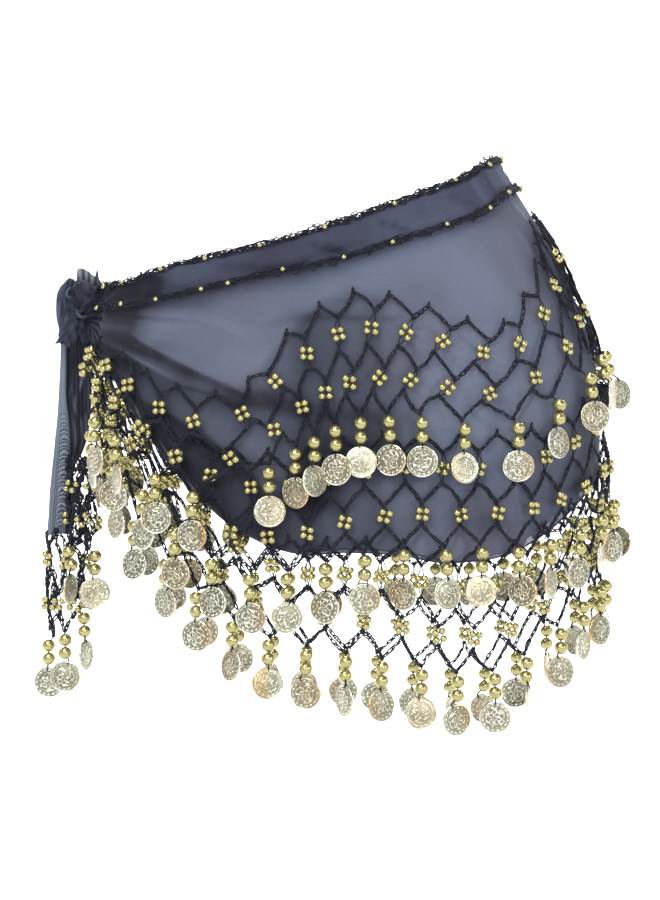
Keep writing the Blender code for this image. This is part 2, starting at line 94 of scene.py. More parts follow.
# Heights of the sewing lines from the knot round the front; the back mirrors them.
LINE_COLUMNS = ("angle", "rim", "band", "tier1", "foot1", "tier2", "foot2", "tier3", "foot3", "hem")
LINES = (
    (183, -42, -54, -66, -98, -70, -115, -74, -130, -77),
    (198, -41, -54, -70, -104, -76, -122, -81, -137, -86),
    (210, -40, -54, -78, -118, -87, -138, -96, -160, -102),
    (222, -34, -52, -95, -142, -110, -164, -125, -196, -133),
    (234, -27, -47, -109, -168, -133, -199, -163, -229, -170),
    (246, -21, -40, -108, -168, -146, -219, -190, -254, -197),
    (258, -14, -33, -72, -145, -147, -220, -203, -267, -209),
    (270, -5, -27, -50, -126, -140, -211, -202, -273, -208),
    (282, 4, -18, -49, -123, -136, -206, -204, -278, -210),
    (294, 13, -9, -60, -127, -138, -206, -210, -285, -216),
    (306, 21, -1, -68, -127, -135, -205, -206, -283, -212),
    (318, 29, 8, -45, -112, -128, -200, -192, -264, -198),
    (330, 36, 18, -20, -96, -116, -192, -175, -243, -181),
    (341, 39, 22, 2, -83, -107, -183, -162, -233, -168),
    (360, 42, 25, 0, -80, -104, -176, -154, -226, -160),
)
BACK_DROP = 7.0         # the middle of the back hangs this much lower
BACK_SHIFT = 5.0        # and its creases stand this much further on

# Folds of the cloth, as the solids have them, each along a line from one place to another.
# Columns: from angle, from height, to angle, to height, half width, rise.
FOLDS = (
    (192, -62, 232, -78, 9, 2.6),
    (194, -70, 246, -108, 10, 3.4),
    (196, -66, 262, -128, 9, -1.8),
    (200, -84, 250, -160, 10, 2.6),
    (214, -100, 240, -180, 11, 2.2),
    (262, -60, 290, -150, 16, 1.6),
    (300, -20, 316, -160, 17, 1.8),
    (328, -30, 336, -150, 15, 1.6),
    (268, -160, 272, -208, 13, 2.0),
    (306, -160, 310, -212, 13, 2.2),
    (528, -62, 488, -80, 9, 2.4),
    (526, -72, 474, -112, 10, 3.2),
    (522, -84, 462, -150, 10, 2.4),
    (452, -40, 440, -150, 16, 1.8),
    (420, -30, 428, -170, 17, 2.0),
    (396, -30, 392, -160, 15, 1.6),
)
# Finer creases, on the front and mirrored on the back: bow is how far the middle is bowed to one side, and
# tone how much painted shade (or, below 0, painted highlight) lies along the crease.
# Columns: from angle, from height, to angle, to height, bow, half width, rise, tone.
CREASES = (
    (196, -57, 254, -115, 0.0, 3.0, 2.0, -0.06),
    (204, -65, 250, -117, 0.0, 2.4, -1.0, 0.20),
    (190, -64, 234, -106, -1.5, 1.1, 1.3, -0.30),
    (228, -102, 252, -121, 0.0, 1.1, 0.5, 0.18),
    (192, -70, 224, -101, -2.0, 2.4, -1.2, 0.34),
    (193, -73, 212, -98, 2.0, 1.0, 1.1, -0.34),
    (188, -72, 206, -108, 3.0, 1.6, 0.9, -0.16),
    (196, -56, 238, -66, 1.0, 1.5, -1.3, 0.30),
    (210, -56, 246, -55, 0.0, 3.0, -0.9, 0.15),
    (214, -62, 240, -66, 0.0, 4.0, 1.2, -0.14),
    (234, -60, 250, -80, -3.0, 2.6, 1.0, -0.14),
    (240, -86, 252, -100, 0.0, 6.0, 0.8, -0.10),
    (250, -70, 266, -61, 0.0, 2.2, -0.8, 0.18),
    (260, -62, 288, -64, 1.0, 1.7, -0.8, 0.22),
    (263, -51, 288, -51, 1.5, 1.1, 0.6, 0.12),
    (246, -110, 264, -126, 0.0, 5.0, -2.0, 0.26),
    (258, -124, 288, -133, -2.0, 5.0, -1.8, 0.30),
    (222, -116, 254, -172, 2.0, 4.0, -2.0, 0.34),
    (214, -104, 242, -160, 3.0, 5.0, 1.6, -0.10),
    (228, -112, 258, -160, 2.0, 7.0, 1.6, -0.10),
    (256, -138, 288, -150, 0.0, 9.0, -1.4, 0.26),
    (254, -174, 272, -167, 0.0, 8.0, -1.0, 0.22),
    (272, -72, 270, -158, 2.0, 17.0, 0.9, 0.12),
    (286, -74, 284, -200, 3.0, 3.0, -1.0, 0.14),
    (291, -80, 298, -150, 0.0, 8.0, 1.3, -0.12),
    (298, -136, 300, -212, 0.0, 3.4, -1.1, 0.14),
    (306, -150, 312, -206, 2.0, 4.0, 1.2, -0.10),
    (278, -150, 280, -208, 0.0, 3.0, 1.0, -0.08),
    (316, -180, 340, -158, 2.0, 3.0, -1.4, 0.22),
    (338, -136, 352, -176, 0.0, 6.0, -1.2, 0.22),
    (300, -40, 330, -52, 2.0, 7.0, 0.9, -0.08),
    (318, 6, 322, -60, 2.0, 5.0, 1.0, -0.08),
    (328, 10, 336, -60, 0.0, 4.0, -1.1, 0.16),
    (332, 16, 342, -10, 0.0, 3.0, 1.2, -0.16),
    (346, 14, 352, -90, 2.0, 4.6, 1.2, -0.06),
    (352, 8, 359, -120, 0.0, 4.0, -1.2, 0.14),
    (322, -60, 328, -130, 3.0, 6.0, 1.2, -0.06),
    (348, -100, 344, -160, 0.0, 5.0, 1.2, -0.06),
)
RISE, PAINTED_SHADE = 6, 7       # the places of a crease's rise and tone in its row
# Where another layer of cloth lies under or over: below a line of (angle, height) it is darker by amount,
# over a distance of blur, and the step dies away between two angles.
# Columns: amount, blur, fade from, fade to, line.
LAYERS = (
    (0.60, 2.4, 262, 292, ((180, -56), (203.6, -60.5), (210.7, -64.5), (218.8, -74.5), (232.2, -91),
                           (248.5, -112), (255.6, -122.5), (268, -125), (286, -134), (300, -150))),
    (0.16, 1.2, 226, 252, ((180, -58), (205.1, -74.5), (214.1, -87), (220.8, -93.5), (232.2, -105.5),
                           (244.5, -116), (252, -121))),
    (0.28, 5.0, 250, 264, ((200, -88), (225, -118), (239.8, -138), (250.5, -168), (262, -200))),
)
# How much darker the cloth is under the top tier's net at an angle: the second layer behind it shows, with
# painted shadow of the net.
NET_SHADE = ((180, 0.10), (240, 0.12), (252, 0.50), (259, 0.68), (264, 0.66), (268, 0.50), (277, 0.50),
             (281, 0.30), (286, 0.18), (290, 0.02), (314, 0.02), (322, 0.14), (332, 0.45), (341, 0.66),
             (360, 0.60))
# The same above that net, where a single layer lies over the far side of the band, with painted shade
# towards the right side, where the hips turn away.
PLAIN_SHADE = ((180, 0.10), (215, 0.17), (285, 0.17), (300, 0.10), (318, 0.12), (328, 0.24), (340, 0.40),
               (360, 0.3))
NET_BLUR = 10.0         # distance over which the one shade goes over into the other
# Single places of painted shade, or below 0 of painted light. Columns: angle, height, half width, half
# height, how much darker.
SHADE_PATCHES = (
    (262.5, -176, 14, 9, 0.34),
    (241, -160, 12, 7, 0.10),
    (251, -152, 13, 16, -0.10),
    (240, -136, 10, 8, -0.12),
    (224, -84, 12, 5, 0.12),
    (247, -113, 10, 4, 0.22),
    (259, -119, 16, 4, 0.22),
    (268, -72, 9, 14, 0.10),
    (262, -95, 10, 12, 0.08),
    (288, -160, 40, 10, 0.16),
    (330, -168, 26, 14, 0.24),
    (300, -190, 60, 12, 0.12),
    (302, -24, 26, 9, -0.12),
    (300, -110, 22, 26, -0.12),
    (296, -70, 14, 12, -0.10),
    (236, -72, 22, 9, 0.05),
    (213, -66, 9, 3, 0.16),
    (333, -52, 8, 22, 0.12),
    (261.4, -39.5, 12, 8, 0.16),
    (323, 3.5, 12, 8, 0.18),
    (253, -90, 14, 12, -0.12),
    (286, -115, 12, 12, -0.08),
    (305, -115, 16, 14, -0.20),
    (270, -165, 10, 10, -0.10),
    (293, -177.5, 14, 8, 0.22),
    (310, -178, 14, 8, 0.18),
    (281.4, -143, 10, 10, -0.12),
    (266, -115, 10, 10, -0.10),
    (196, -56, 9, 7, 0.30),
    (227, -50, 8, 4, -0.16),
    (218, -71.5, 9, 5, 0.16),
    (226, -83, 10, 5, 0.26),
    (234, -96, 12, 6, 0.24),
    (246, -111, 14, 6, 0.22),
    (265, -130, 22, 8, -0.10),
    (288, -193, 12, 6, 0.14),
    (302, -196, 14, 6, 0.20),
    (290, -162, 10, 7, -0.22),
    (260.6, -62.5, 8, 5, 0.22),
    (213.6, -70, 9, 7, 0.30),
    (220, -57, 10, 4, -0.14),
    (243.3, -132.5, 10, 7, 0.12),
    (253.8, -157.5, 9, 9, -0.14),
    (281.4, -177, 10, 8, -0.14),
    (301.7, -191, 12, 6, 0.14),
    (315.5, -181.5, 8, 6, 0.14),
)
SEAM_SHADE = 0.52       # painted shadow under the band's edge along its seam: how dark it is
SEAM_REACH = 8.5
SEAM_FADE = ((180, 1.0), (262, 1.0), (282, 0.55), (300, 0.2), (318, 0.35), (345, 0.6))
KNOT_SHADE = 1.0        # how dark the cloth is where it is gathered into the knot: its layers and painted shade
KNOT_REACH = 106.0
KNOT_BLUR = 54.0
KNOT_DARK = -56.0       # height of the place that it darkens towards
KNOT_DARK_SLIM = 1.3    # width of the dark place over its height
KNOT_LIFT = 9.0         # how far the cloth rises off the hips as it goes into the knot
KNOT_LIFT_REACH = 26.0
KNOT_LIFT_BLUR = 22.0
KNOT_LIFT_HEIGHT = -55.0
KNOT_LIFT_HALF = 16.0   # half height of what rises
FOLD_FADE = 0.22        # part of a fold's length over which it dies away at each end
CREASE_FADE = 0.30
RAYS = 34               # small pleats that run out of the knot
RAY_RISE = 1.0
RAY_REACH = 66.0
RAY_HEIGHT = -60.0      # height of the place that they run from
RAY_HIGHLIGHT = 0.50         # painted highlight: how much paler their crests are below the knot
RAY_HIGHLIGHT_BLUR = 12.0

# Net columns.
HALF_STEPS = 72         # half columns from the knot round to the knot
NET_START = 37.0
BUNCH_REACH = 80.0
BUNCH_SHARE = 0.2
BUNCH_END = 150.0       # the gathers reach this far from the knot
BUNCH_BLUR = 70.0
NET_REST = 16.0         # a net rises over a lower tier from this far above that tier's line
NET_RAMP = 12.0
LINK_SHARES = (0.52, 0.50)      # how far down a link its beads lie, in the upper and the lower row
TIER_ROWS = np.array((0.0, 0.155, 0.43, 0.626, 0.805, 1.0))  # peak, valley, link, valley, link, foot
# How far the feet of the top tier are drawn along the hips: (angle, millimetres).
FOOT_PULL = ((180, 0.0), (236, 4.0), (243, 25.0), (252, 19.0), (261, 5.0), (270, -7.0), (279, -16.0),
             (287, -22.0), (296, -26.0), (306, -24.0), (315, -11.0), (327, -2.0), (350, 0.0))
# Cords of chain down the hip, where the net is drawn together: angle, top, foot and sway.
SIDE_CORDS = ((331, -14, -62, 2.2), (334, -6, -78, 2.6), (337, 0, -84, 3.4), (341, 4, -88, 3.4),
              (345, 6, -92, 3.6), (348, 5, -90, 4.2), (350, 4, -90, 3.6), (353, 2, -92, 4.2),
              (356, 2, -92, 3.6), (359, 2, -92, 4.0))
# How far the coins are turned about their threads, in degrees, one after the other.
COIN_TURNS = np.array((8, -16, 24, -6, 38, -22, 12, 58, -30, 4, -12, 30, -48, 18, -4, 26), float)
TIERS = (1, 2, 3)

# The knot and the tied end.
KNOT = (-146.0, -1.0, -53.0)
KNOT_HALF = (14.5, 17.0, 23.0)
# Nets of the long end. Columns: name, centre, front, radius, top, foot, columns, how far out its drops hang,
# how far each foot is moved, the coins' turns, and cords as in the side cords, but with along for the angle.
TAIL_NETS = (
    ("upper", -141.0, -19.6, 8.5, -152.0, -208.0, 2, 2.4, ((4.2, 0.0), (-2.4, 0.0)), (-82, 27),
     ((-7, -150, -206, 1.6), (-5, -150, -204, 1.8), (-3, -150, -200, 2.0), (-1, -151, -206, 1.6),
      (1, -152, -238, 1.8), (3, -151, -204, 2.2), (5, -152, -200, 1.6),
      (-8, -150, -176, 1.4), (7, -152, -190, 1.6), (0, -150, -186, 2.4))),
    ("lower", -150.5, -14.7, 13.0, -199.5, -266.0, 3, 0.0, ((4.7, 0.0), (0.9, 2.0), (-5.1, 19.0)),
     (-24, 8, -31),
     ((-13, -199, -262, 2.2), (-9, -199, -250, 2.4), (-4, -198, -256, 2.2), (1, -198, -244, 2.2),
      (6, -197, -236, 2.0))),
)
TAIL_NET_SPREAD = 78.0  # degrees that a tail net reaches to each side

# Seeds of the random draws: of the two edgings, of the tiers (plus a tier's number, from 1), and of the
# long end's nets (plus a net's number, from 0).
EDGING_SEEDS = (11, 12)
TIER_SEED = 20
TAIL_NET_SEED = 40


# ---- what a user would change ----
def length(name, description, default):
    """A length in metres that the panel shows."""
    return FloatProperty(name=name, description=description, default=default, unit="LENGTH")


def colour(name, description, default):
    """A colour that the panel shows."""
    return FloatVectorProperty(name=name, description=description, default=default, subtype="COLOR")


class ScarfSizes(bpy.types.PropertyGroup):
    """Sizes of the scarf's cloth, yarn, beads and coins."""
    chiffon: length("Chiffon", "Thickness of the chiffon", 0.0004)
    yarn: length("Yarn", "Radius of the crochet yarn", 0.00047)
    pitch: length("Stitch", "Length of one chain stitch", 0.0043)
    chain: length("Chain", "Width of a chain of stitches", 0.0028)
    small_bead: length("Small bead", "Diameter of the beads in the net", 0.0048)
    edge_bead: length("Edge bead", "Diameter of the beads on the edging", 0.0034)
    large_bead: length("Large bead", "Diameter of the beads over a coin", 0.0087)
    coin: length("Coin", "Diameter of a coin", 0.0202)
    coin_edge: length("Coin edge", "Thickness of a coin's edge", 0.0008)


class ScarfColours(bpy.types.PropertyGroup):
    """Colours of the scarf's finishes."""
    chiffon: colour("Chiffon", "One layer of chiffon in the light", (0.104, 0.125, 0.187))
    chiffon_mauve: colour("Chiffon, mauve", "Its warmer patches", (0.088, 0.092, 0.138))
    doubled: colour("Doubled chiffon", "Several layers of chiffon", (0.0118, 0.0122, 0.0200))
    yarn: colour("Yarn", "The crochet yarn", (0.0058, 0.0063, 0.0110))
    gilt: colour("Gilt", "The gilt of the beads", (0.43, 0.405, 0.205))
    coin: colour("Coin", "The pale gilt of the coins", (0.70, 0.695, 0.58))
    coin_warm: colour("Warm coin", "The warmest of the coins", (0.56, 0.37, 0.17))


# ---- places on the garment ----
def smooth_rows(x, xs, ys):
    """Cubic curve through (xs, ys) with the slopes of its neighbours, held level past its ends."""
    xs, ys = np.asarray(xs, float), np.asarray(ys, float)
    x = np.clip(x, xs[0], xs[-1])
    slopes = np.gradient(ys, xs)
    i = np.clip(np.searchsorted(xs, x) - 1, 0, len(xs) - 2)
    span = xs[i + 1] - xs[i]
    t = (x - xs[i]) / span
    from_value = (2 * t**3 - 3 * t**2 + 1) * ys[i] + (3 * t**2 - 2 * t**3) * ys[i + 1]
    from_slope = (t**3 - 2 * t**2 + t) * slopes[i] + (t**3 - t**2) * slopes[i + 1]
    return from_value + span * from_slope


def soft_step(value):
    """0 below 0 and 1 above 1, with a smooth rise between."""
    value = np.clip(value, 0.0, 1.0)
    return value * value * (3 - 2 * value)


def hump(value, centre, half):
    """The bell exp(-((value - centre) / half)^2)."""
    return np.exp(-(((value - centre) / half) ** 2))


def full_turn(count):
    """Even angles round a full turn, in radians."""
    return np.linspace(0.0, 2 * np.pi, count, endpoint=False)


def stacked(*parts):
    """Arrays side by side, as the last axis of one."""
    return np.stack(np.broadcast_arrays(*parts), axis=-1)


def through(table, value):
    """Straight lines through a table of (value, result)."""
    return np.interp(value, *np.array(table, float).T)


def column(table, columns, name):
    """One named column of a table."""
    return [row[columns.index(name)] for row in table]


def from_table(table, columns, name, value):
    """A named column of a table as a smooth curve over its first column."""
    return smooth_rows(value, column(table, columns, columns[0]), column(table, columns, name))


def form_at(name, height):
    """A named size of the hips' level section at a height."""
    return from_table(FORM, FORM_COLUMNS, name, height)


def section(angle, height):
    """X, Y and outward direction of the skin: an ellipse, fuller by a share of sin^2 of twice the angle."""
    turn = np.radians(angle)
    full = 1 + SQUARENESS * np.sin(2 * turn) ** 2
    wide, deep = form_at("half_width", height) * full, form_at("half_depth", height) * full
    across, along = np.cos(turn) / wide, np.sin(turn) / deep
    size = np.hypot(across, along)
    return form_at("centre", height) + wide * np.cos(turn), deep * np.sin(turn), across / size, along / size


def girth_table():
    """Angles from 180 to 540 degrees and the girth passed at hip level."""
    angles = np.linspace(180.0, 540.0, 721)
    x, y, _, _ = section(angles, HIP_HEIGHT)
    return angles, np.concatenate(([0.0], np.cumsum(np.hypot(np.diff(x), np.diff(y)))))


ANGLES, GIRTHS = girth_table()
GIRTH = GIRTHS[-1]


def angle_at(along):
    """Angle in degrees of a girth from the knot."""
    return np.interp(along, GIRTHS, ANGLES)


def along_at(angle):
    """Girth from the knot of an angle in degrees."""
    return np.interp(angle, ANGLES, GIRTHS)


def from_knot(along):
    """Girth to the knot, whichever way is shorter."""
    return np.minimum(along, GIRTH - along)


def back_share(angle):
    """0 on the front and 1 at the middle of the back, with a squared sine of the angle between."""
    return np.sin(np.pi * np.clip((angle - 360.0) / 180.0, 0.0, 1.0)) ** 2


def line(name, along):
    """Height of a sewing line; the back mirrors the front and hangs a little lower."""
    angle = angle_at(along)
    mirrored = 360.0 - np.abs(angle - 360.0)
    value = from_table(LINES, LINE_COLUMNS, name, mirrored)
    if name in ("rim", "band"):
        return value
    return value - BACK_DROP * back_share(angle)


def bell(along, height, row, fade_share):
    """A fold's bell: exp(-(off / half width)^2 / 2) across its bowed line, faded towards its ends."""
    from_angle, from_height, to_angle, to_height, bow, half_width = row[:6]
    start = np.array([along_at(from_angle), from_height])
    way = np.array([along_at(to_angle), to_height]) - start
    length = np.hypot(*way)
    way = way / length
    run, rise = along - start[0], height - start[1]
    part = (run * way[0] + rise * way[1]) / length
    off = run * way[1] - rise * way[0] - 4 * bow * part * (1 - part)
    return soft_step(np.minimum(part, 1 - part) / fade_share) * np.exp(-0.5 * (off / half_width) ** 2)


def mirrored_place(along, height):
    """The same place on the front for one on the back, which hangs lower and a little further on."""
    shift = back_share(angle_at(along))
    return from_knot(along) + BACK_SHIFT * shift, height + BACK_DROP * shift


def ray_rise(along, height):
    """Pleats out of the knot: a sine of the direction from the knot, dying away with distance."""
    run, fall = from_knot(along), height - RAY_HEIGHT
    distance, direction = np.hypot(run, fall), np.arctan2(fall, run)
    wander = 0.5 * np.sin(distance / 17.0)
    fade = soft_step(distance / 18.0) * hump(distance, 0.0, RAY_REACH)
    return RAY_RISE * fade * np.sin(RAYS * direction + wander)


def rise_at(along, height):
    """How far the cloth stands off the skin's form: folds, creases, pleats and the pull of the knot."""
    rise = ray_rise(along, height)
    for row in FOLDS:
        rise = rise + row[5] * bell(along, height, (*row[:4], 0.0, row[4]), FOLD_FADE)
    run, level = mirrored_place(along, height)
    for row in CREASES:
        rise = rise + row[RISE] * bell(run, level, row, CREASE_FADE)
    near = soft_step((KNOT_LIFT_REACH - from_knot(along)) / KNOT_LIFT_BLUR)
    return rise + KNOT_LIFT * near * np.exp(-0.5 * ((height - KNOT_LIFT_HEIGHT) / KNOT_LIFT_HALF) ** 2)


def knot_shade(run, level, further=0.0):
    """How dark the cloth is towards the knot, its layers and painted shade, from a place further out if that
    is given.
    """
    distance = np.hypot(run, KNOT_DARK_SLIM * (level - KNOT_DARK))
    return KNOT_SHADE * soft_step((KNOT_REACH + further - distance) / KNOT_BLUR)


def shade_at(along, height):
    """How dark the cloth is, from 0 to 1: its layers, and painted shade of net, creases, patches, seam and
    knot, less painted highlights.
    """
    run, level = mirrored_place(along, height)
    angle = angle_at(run)
    # darker under the net (the layer behind and painted shadow) and above it (the band's far side and
    # painted shade)
    net, plain = through(NET_SHADE, angle), through(PLAIN_SHADE, angle)
    net = plain + (net - plain) * soft_step((line("tier1", along) - height + NET_BLUR / 2) / NET_BLUR)
    shade = np.zeros(np.shape(net))
    for amount, blur, fade_from, fade_to, points in LAYERS:
        fade = 1 - soft_step((angle - fade_from) / (fade_to - fade_from))
        shade = shade + amount * fade * soft_step((through(points, angle) - level) / blur + 0.5)
    shade = np.maximum(net, shade)
    # painted shade, and below 0 painted highlights, along the creases
    for row in CREASES:
        shade = shade + row[PAINTED_SHADE] * bell(run, level, row, CREASE_FADE)
    # painted shade, and below 0 painted light, in single places
    for place, centre, half_width, half_height, tone in SHADE_PATCHES:
        off = ((run - along_at(place)) / half_width) ** 2 + ((level - centre) / half_height) ** 2
        shade = shade + tone * np.exp(-0.5 * off)
    # painted shadow under the band's edge, along its seam
    seam = hump(line("band", along), height, SEAM_REACH)
    shade = shade + SEAM_SHADE * seam * through(SEAM_FADE, angle)
    shade = np.clip(shade + knot_shade(run, level), 0.0, 1.0)
    # painted highlight on the crests of the pleats below the knot
    crest = np.maximum(ray_rise(along, height) / RAY_RISE, 0.0)
    crest = crest * soft_step((RAY_HEIGHT + RAY_HIGHLIGHT_BLUR / 4 - height) / RAY_HIGHLIGHT_BLUR)
    return np.clip(shade - RAY_HIGHLIGHT * crest, 0.0, 1.0)


def on_hips(along, height, out):
    """Place in metres: the skin at that girth and height, moved along its normal by out and the rise."""
    along, height, out = np.broadcast_arrays(*np.atleast_1d(along, height, out))
    x, y, nx, ny = section(angle_at(along), height)
    out = out + rise_at(along, height)
    return stacked(x + nx * out, y + ny * out, height) * MM


def column_places():
    """Girth of each half column: even, but drawn together beside the knot at both ends."""
    steps = np.linspace(NET_START, GIRTH - NET_START, 400)
    near = np.minimum(steps - NET_START, GIRTH - NET_START - steps)
    density = 1.0 / (1.0 - BUNCH_SHARE * hump(near, 0.0, BUNCH_REACH))
    passed = np.concatenate(([0.0], np.cumsum((density[1:] + density[:-1]) / 2)))
    return np.interp(np.linspace(0.0, passed[-1], HALF_STEPS + 1), passed, steps)


COLUMNS = column_places()


def bunched(along):
    """1 beside the knot, 0 past the gathers."""
    return np.clip((BUNCH_END - from_knot(along)) / BUNCH_BLUR, 0.0, 1.0)


def net_out(tier, along, height):
    """Underside of a tier's net: over the chiffon and over each lower tier that lies beneath."""
    count = np.zeros(np.broadcast(along, height).shape)
    for lower in range(tier + 1, len(TIERS) + 1):
        count = count + np.clip((line(f"tier{lower}", along) - height + NET_REST) / NET_RAMP, 0.0, 1.0)
    return CLOTH + NET_CLEAR + NET_STEP * count


# ---- meshes ----
def grid_faces(rows, columns, closed=False):
    """Quads of a grid of rows x columns points; closed joins the last column to the first."""
    last = columns if closed else columns - 1
    row, col = np.meshgrid(np.arange(rows - 1), np.arange(last), indexing="ij")
    n = (col + 1) % columns
    quads = [row * columns + col, row * columns + n, (row + 1) * columns + n, (row + 1) * columns + col]
    return np.stack(quads, axis=-1).reshape(-1, 4)


def tube_faces(rings, around):
    """Faces of a tube of rings of points, one after the other, with a flat cap at each end."""
    n = np.arange(around)
    caps = np.array([n, n + (rings - 1) * around])
    return [grid_faces(rings, around, closed=True)[:, ::-1], caps[:1], caps[1:, ::-1]]


def fans(around, first_tip, last_tip, last_ring):
    """Triangles from one tip to the ring that starts at 0, and from another to the ring at last_ring."""
    n = np.arange(around)
    after = (n + 1) % around
    return np.concatenate([
        stacked(first_tip, n, after),
        stacked(last_tip, last_ring + after, last_ring + n),
    ])


def add_piece(name, points, faces, finish, slot, uv=None, values=None, thickness=0.0, uv_name="cloth"):
    """One object from arrays: points in metres, a list of face arrays, UV and named values at points."""
    points = np.asarray(points, np.float32).reshape(-1, 3)
    corners = np.concatenate([part.ravel() for part in faces]).astype(np.int32)
    sizes = np.concatenate([np.full(len(part), part.shape[1]) for part in faces])
    mesh = bpy.data.meshes.new(name)
    mesh.vertices.add(len(points))
    mesh.vertices.foreach_set("co", points.ravel())
    mesh.loops.add(len(corners))
    mesh.loops.foreach_set("vertex_index", corners)
    mesh.polygons.add(len(sizes))
    mesh.polygons.foreach_set("loop_start", (np.cumsum(sizes) - sizes).astype(np.int32))
    mesh.update(calc_edges=True)
    if uv is not None:
        layer = mesh.uv_layers.new(name=uv_name)
        layer.data.foreach_set("uv", np.asarray(uv, np.float32).reshape(-1, 2)[corners].ravel())
    for key, value in (values or {}).items():
        attribute = mesh.attributes.new(key, "FLOAT", "POINT")
        attribute.data.foreach_set("value", np.asarray(value, np.float32).ravel())
    mesh.validate()
    mesh.shade_smooth()
    mesh.materials.append(finish)
    piece = bpy.data.objects.new(name, mesh)
    bpy.context.scene.collection.objects.link(piece)
    if thickness:
        wall = piece.modifiers.new("thickness", "SOLIDIFY")
        wall.thickness = thickness
        wall.offset = 0.0
    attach(piece, "root")
    return piece


def joined(parts):
    """Several (points, faces) as one: the faces' numbers move on by the points before them."""
    points, faces, start = [], [], 0
    for some, their_faces in parts:
        some = np.asarray(some, float).reshape(-1, 3)
        points.append(some)
        faces += [part + start for part in their_faces]
        start += len(some)
    return np.concatenate(points), faces


def copies(shape, faces, origins, axes):
    """A shape set down at each origin; its x, y and z run along that copy's three axes."""
    points = origins[:, None, :] + np.einsum("vk,nkj->nvj", shape, axes)
    starts = np.arange(len(origins))[:, None, None] * len(shape)
    return points.reshape(-1, 3), [(part[None] + starts).reshape(-1, part.shape[1]) for part in faces]


def axes_at(place, along, height, out):
    """Place in metres and its axes: across (with the girth), up, and outwards = across x up."""
    here = place(along, height, out)
    across = place(along + 0.4, height, out) - here
    across[:, 2] = 0.0
    across /= np.linalg.norm(across, axis=1, keepdims=True)
    up = np.broadcast_to([0.0, 0.0, 1.0], across.shape)
    return here, np.stack([across, up, np.cross(across, up)], axis=1)


def turned(axes, yaw=0.0, roll=0.0, pitch=0.0):
    """Axes turned by yaw about up, then roll about outwards, then pitch about across, in degrees."""
    yaw, roll, pitch = (np.broadcast_to(np.radians(a), len(axes))[:, None] for a in (yaw, roll, pitch))
    across, up, outward = axes[:, 0], axes[:, 1], axes[:, 2]
    across, outward = (across * np.cos(yaw) + outward * np.sin(yaw),
                       outward * np.cos(yaw) - across * np.sin(yaw))
    across, up = across * np.cos(roll) + up * np.sin(roll), up * np.cos(roll) - across * np.sin(roll)
    up, outward = up * np.cos(pitch) + outward * np.sin(pitch), outward * np.cos(pitch) - up * np.sin(pitch)
    return np.stack([across, up, outward], axis=1)


def ball(around, down, flat=1.0):
    """A bead about its hole along y: a sphere of radius 1 whose ends are flattened by a share."""
    fall = np.linspace(0.0, np.pi, down + 1)[1:-1]
    turn = full_turn(around)
    fall_grid, turn_grid = np.meshgrid(fall, turn, indexing="ij")
    wide = np.sin(fall_grid)
    x, z = wide * np.cos(turn_grid), -wide * np.sin(turn_grid)
    shape = stacked(x, flat * np.cos(fall_grid), z)
    shape = np.concatenate([shape.reshape(-1, 3), [(0, flat * 0.93, 0), (0, -flat * 0.93, 0)]])
    rows = down - 1
    tip = rows * around
    caps = fans(around, tip, tip + 1, tip - around)
    return shape, [caps, grid_faces(rows, around, closed=True)[:, ::-1]]


def sweep(paths, radius, sides, lean=(0.0, 0.0, 1.0)):
    """Tubes along paths: at each point a ring of sides points about the path's direction.

    paths is (tubes, points, 3) in metres; lean is a direction that no path runs along.
    """
    tubes, count = paths.shape[:2]
    forward = np.gradient(paths, axis=1)
    forward /= np.linalg.norm(forward, axis=2, keepdims=True)
    side = np.cross(forward, lean)
    side /= np.linalg.norm(side, axis=2, keepdims=True)
    up = np.cross(side, forward)
    turn = full_turn(sides)[:, None]
    rings = paths[:, :, None] + radius * (np.cos(turn) * side[:, :, None] + np.sin(turn) * up[:, :, None])
    starts = np.arange(tubes)[:, None, None] * count * sides
    walls = (grid_faces(count, sides, closed=True)[None] + starts).reshape(-1, 4)
    first = (np.arange(sides)[::-1][None] + starts[:, :, 0]).reshape(-1, sides)
    last = (np.arange(sides)[None] + (count - 1) * sides + starts[:, :, 0]).reshape(-1, sides)
    return rings.reshape(-1, 3), [walls, first, last]


# ---- yarn ----
LINK_POINTS = 8         # points round one loop of a chain
LINK_REACH = 1.46       # a loop's length over its pitch, so that each runs into the next
STRAND_POINTS = 10      # points along the loose strand of a chain
LINK_LIFT = 0.9         # how much higher a loop's wide end lies, millimetres
THREAD_LEAN = (0.31, 0.93, 0.2)     # a direction that no thread runs along
PHASES = 6.28           # a random phase lies between 0 and this
SETTLE_ROUNDS = 30
SETTLE_STEP = 1.2       # the furthest that a body moves in one round, millimetres
SETTLE_WAYS = np.array([0.8, 0.4, 1.0])     # how freely it moves along, up and out


def link_shape(pitch, width, radius):
    """One chain stitch in millimetres: a four-sided tube round a teardrop loop.

    Its line is x = -reach cos t, y = half width sin t (0.95 - 0.35 cos t), and z rises towards its far end.
    """
    t = full_turn(LINK_POINTS)
    x = -0.5 * LINK_REACH * pitch * np.cos(t)
    y = 0.5 * (width - 2 * radius) * np.sin(t) * (0.95 - 0.35 * np.cos(t))
    z = radius + LINK_LIFT * (1 - np.cos(t)) / 2
    core = stacked(x, y, z)
    forward = np.roll(core, -1, axis=0) - np.roll(core, 1, axis=0)
    flat = np.hypot(forward[:, 0], forward[:, 1])[:, None]
    outer = np.concatenate([forward[:, 1:2], -forward[:, :1], 0 * flat], axis=1) / flat
    rings = [core + radius * (math.cos(a) * outer + math.sin(a) * np.array([0, 0, 1.0]))
             for a in np.radians((45, 135, 225, 315))]
    shape = np.stack(rings, axis=1).reshape(-1, 3)
    k = np.arange(4)
    i = np.arange(LINK_POINTS)[:, None]
    j = (i + 1) % LINK_POINTS
    quads = stacked(i * 4 + k, i * 4 + (k + 1) % 4, j * 4 + (k + 1) % 4, j * 4 + k)
    return shape, [quads.reshape(-1, 4)]


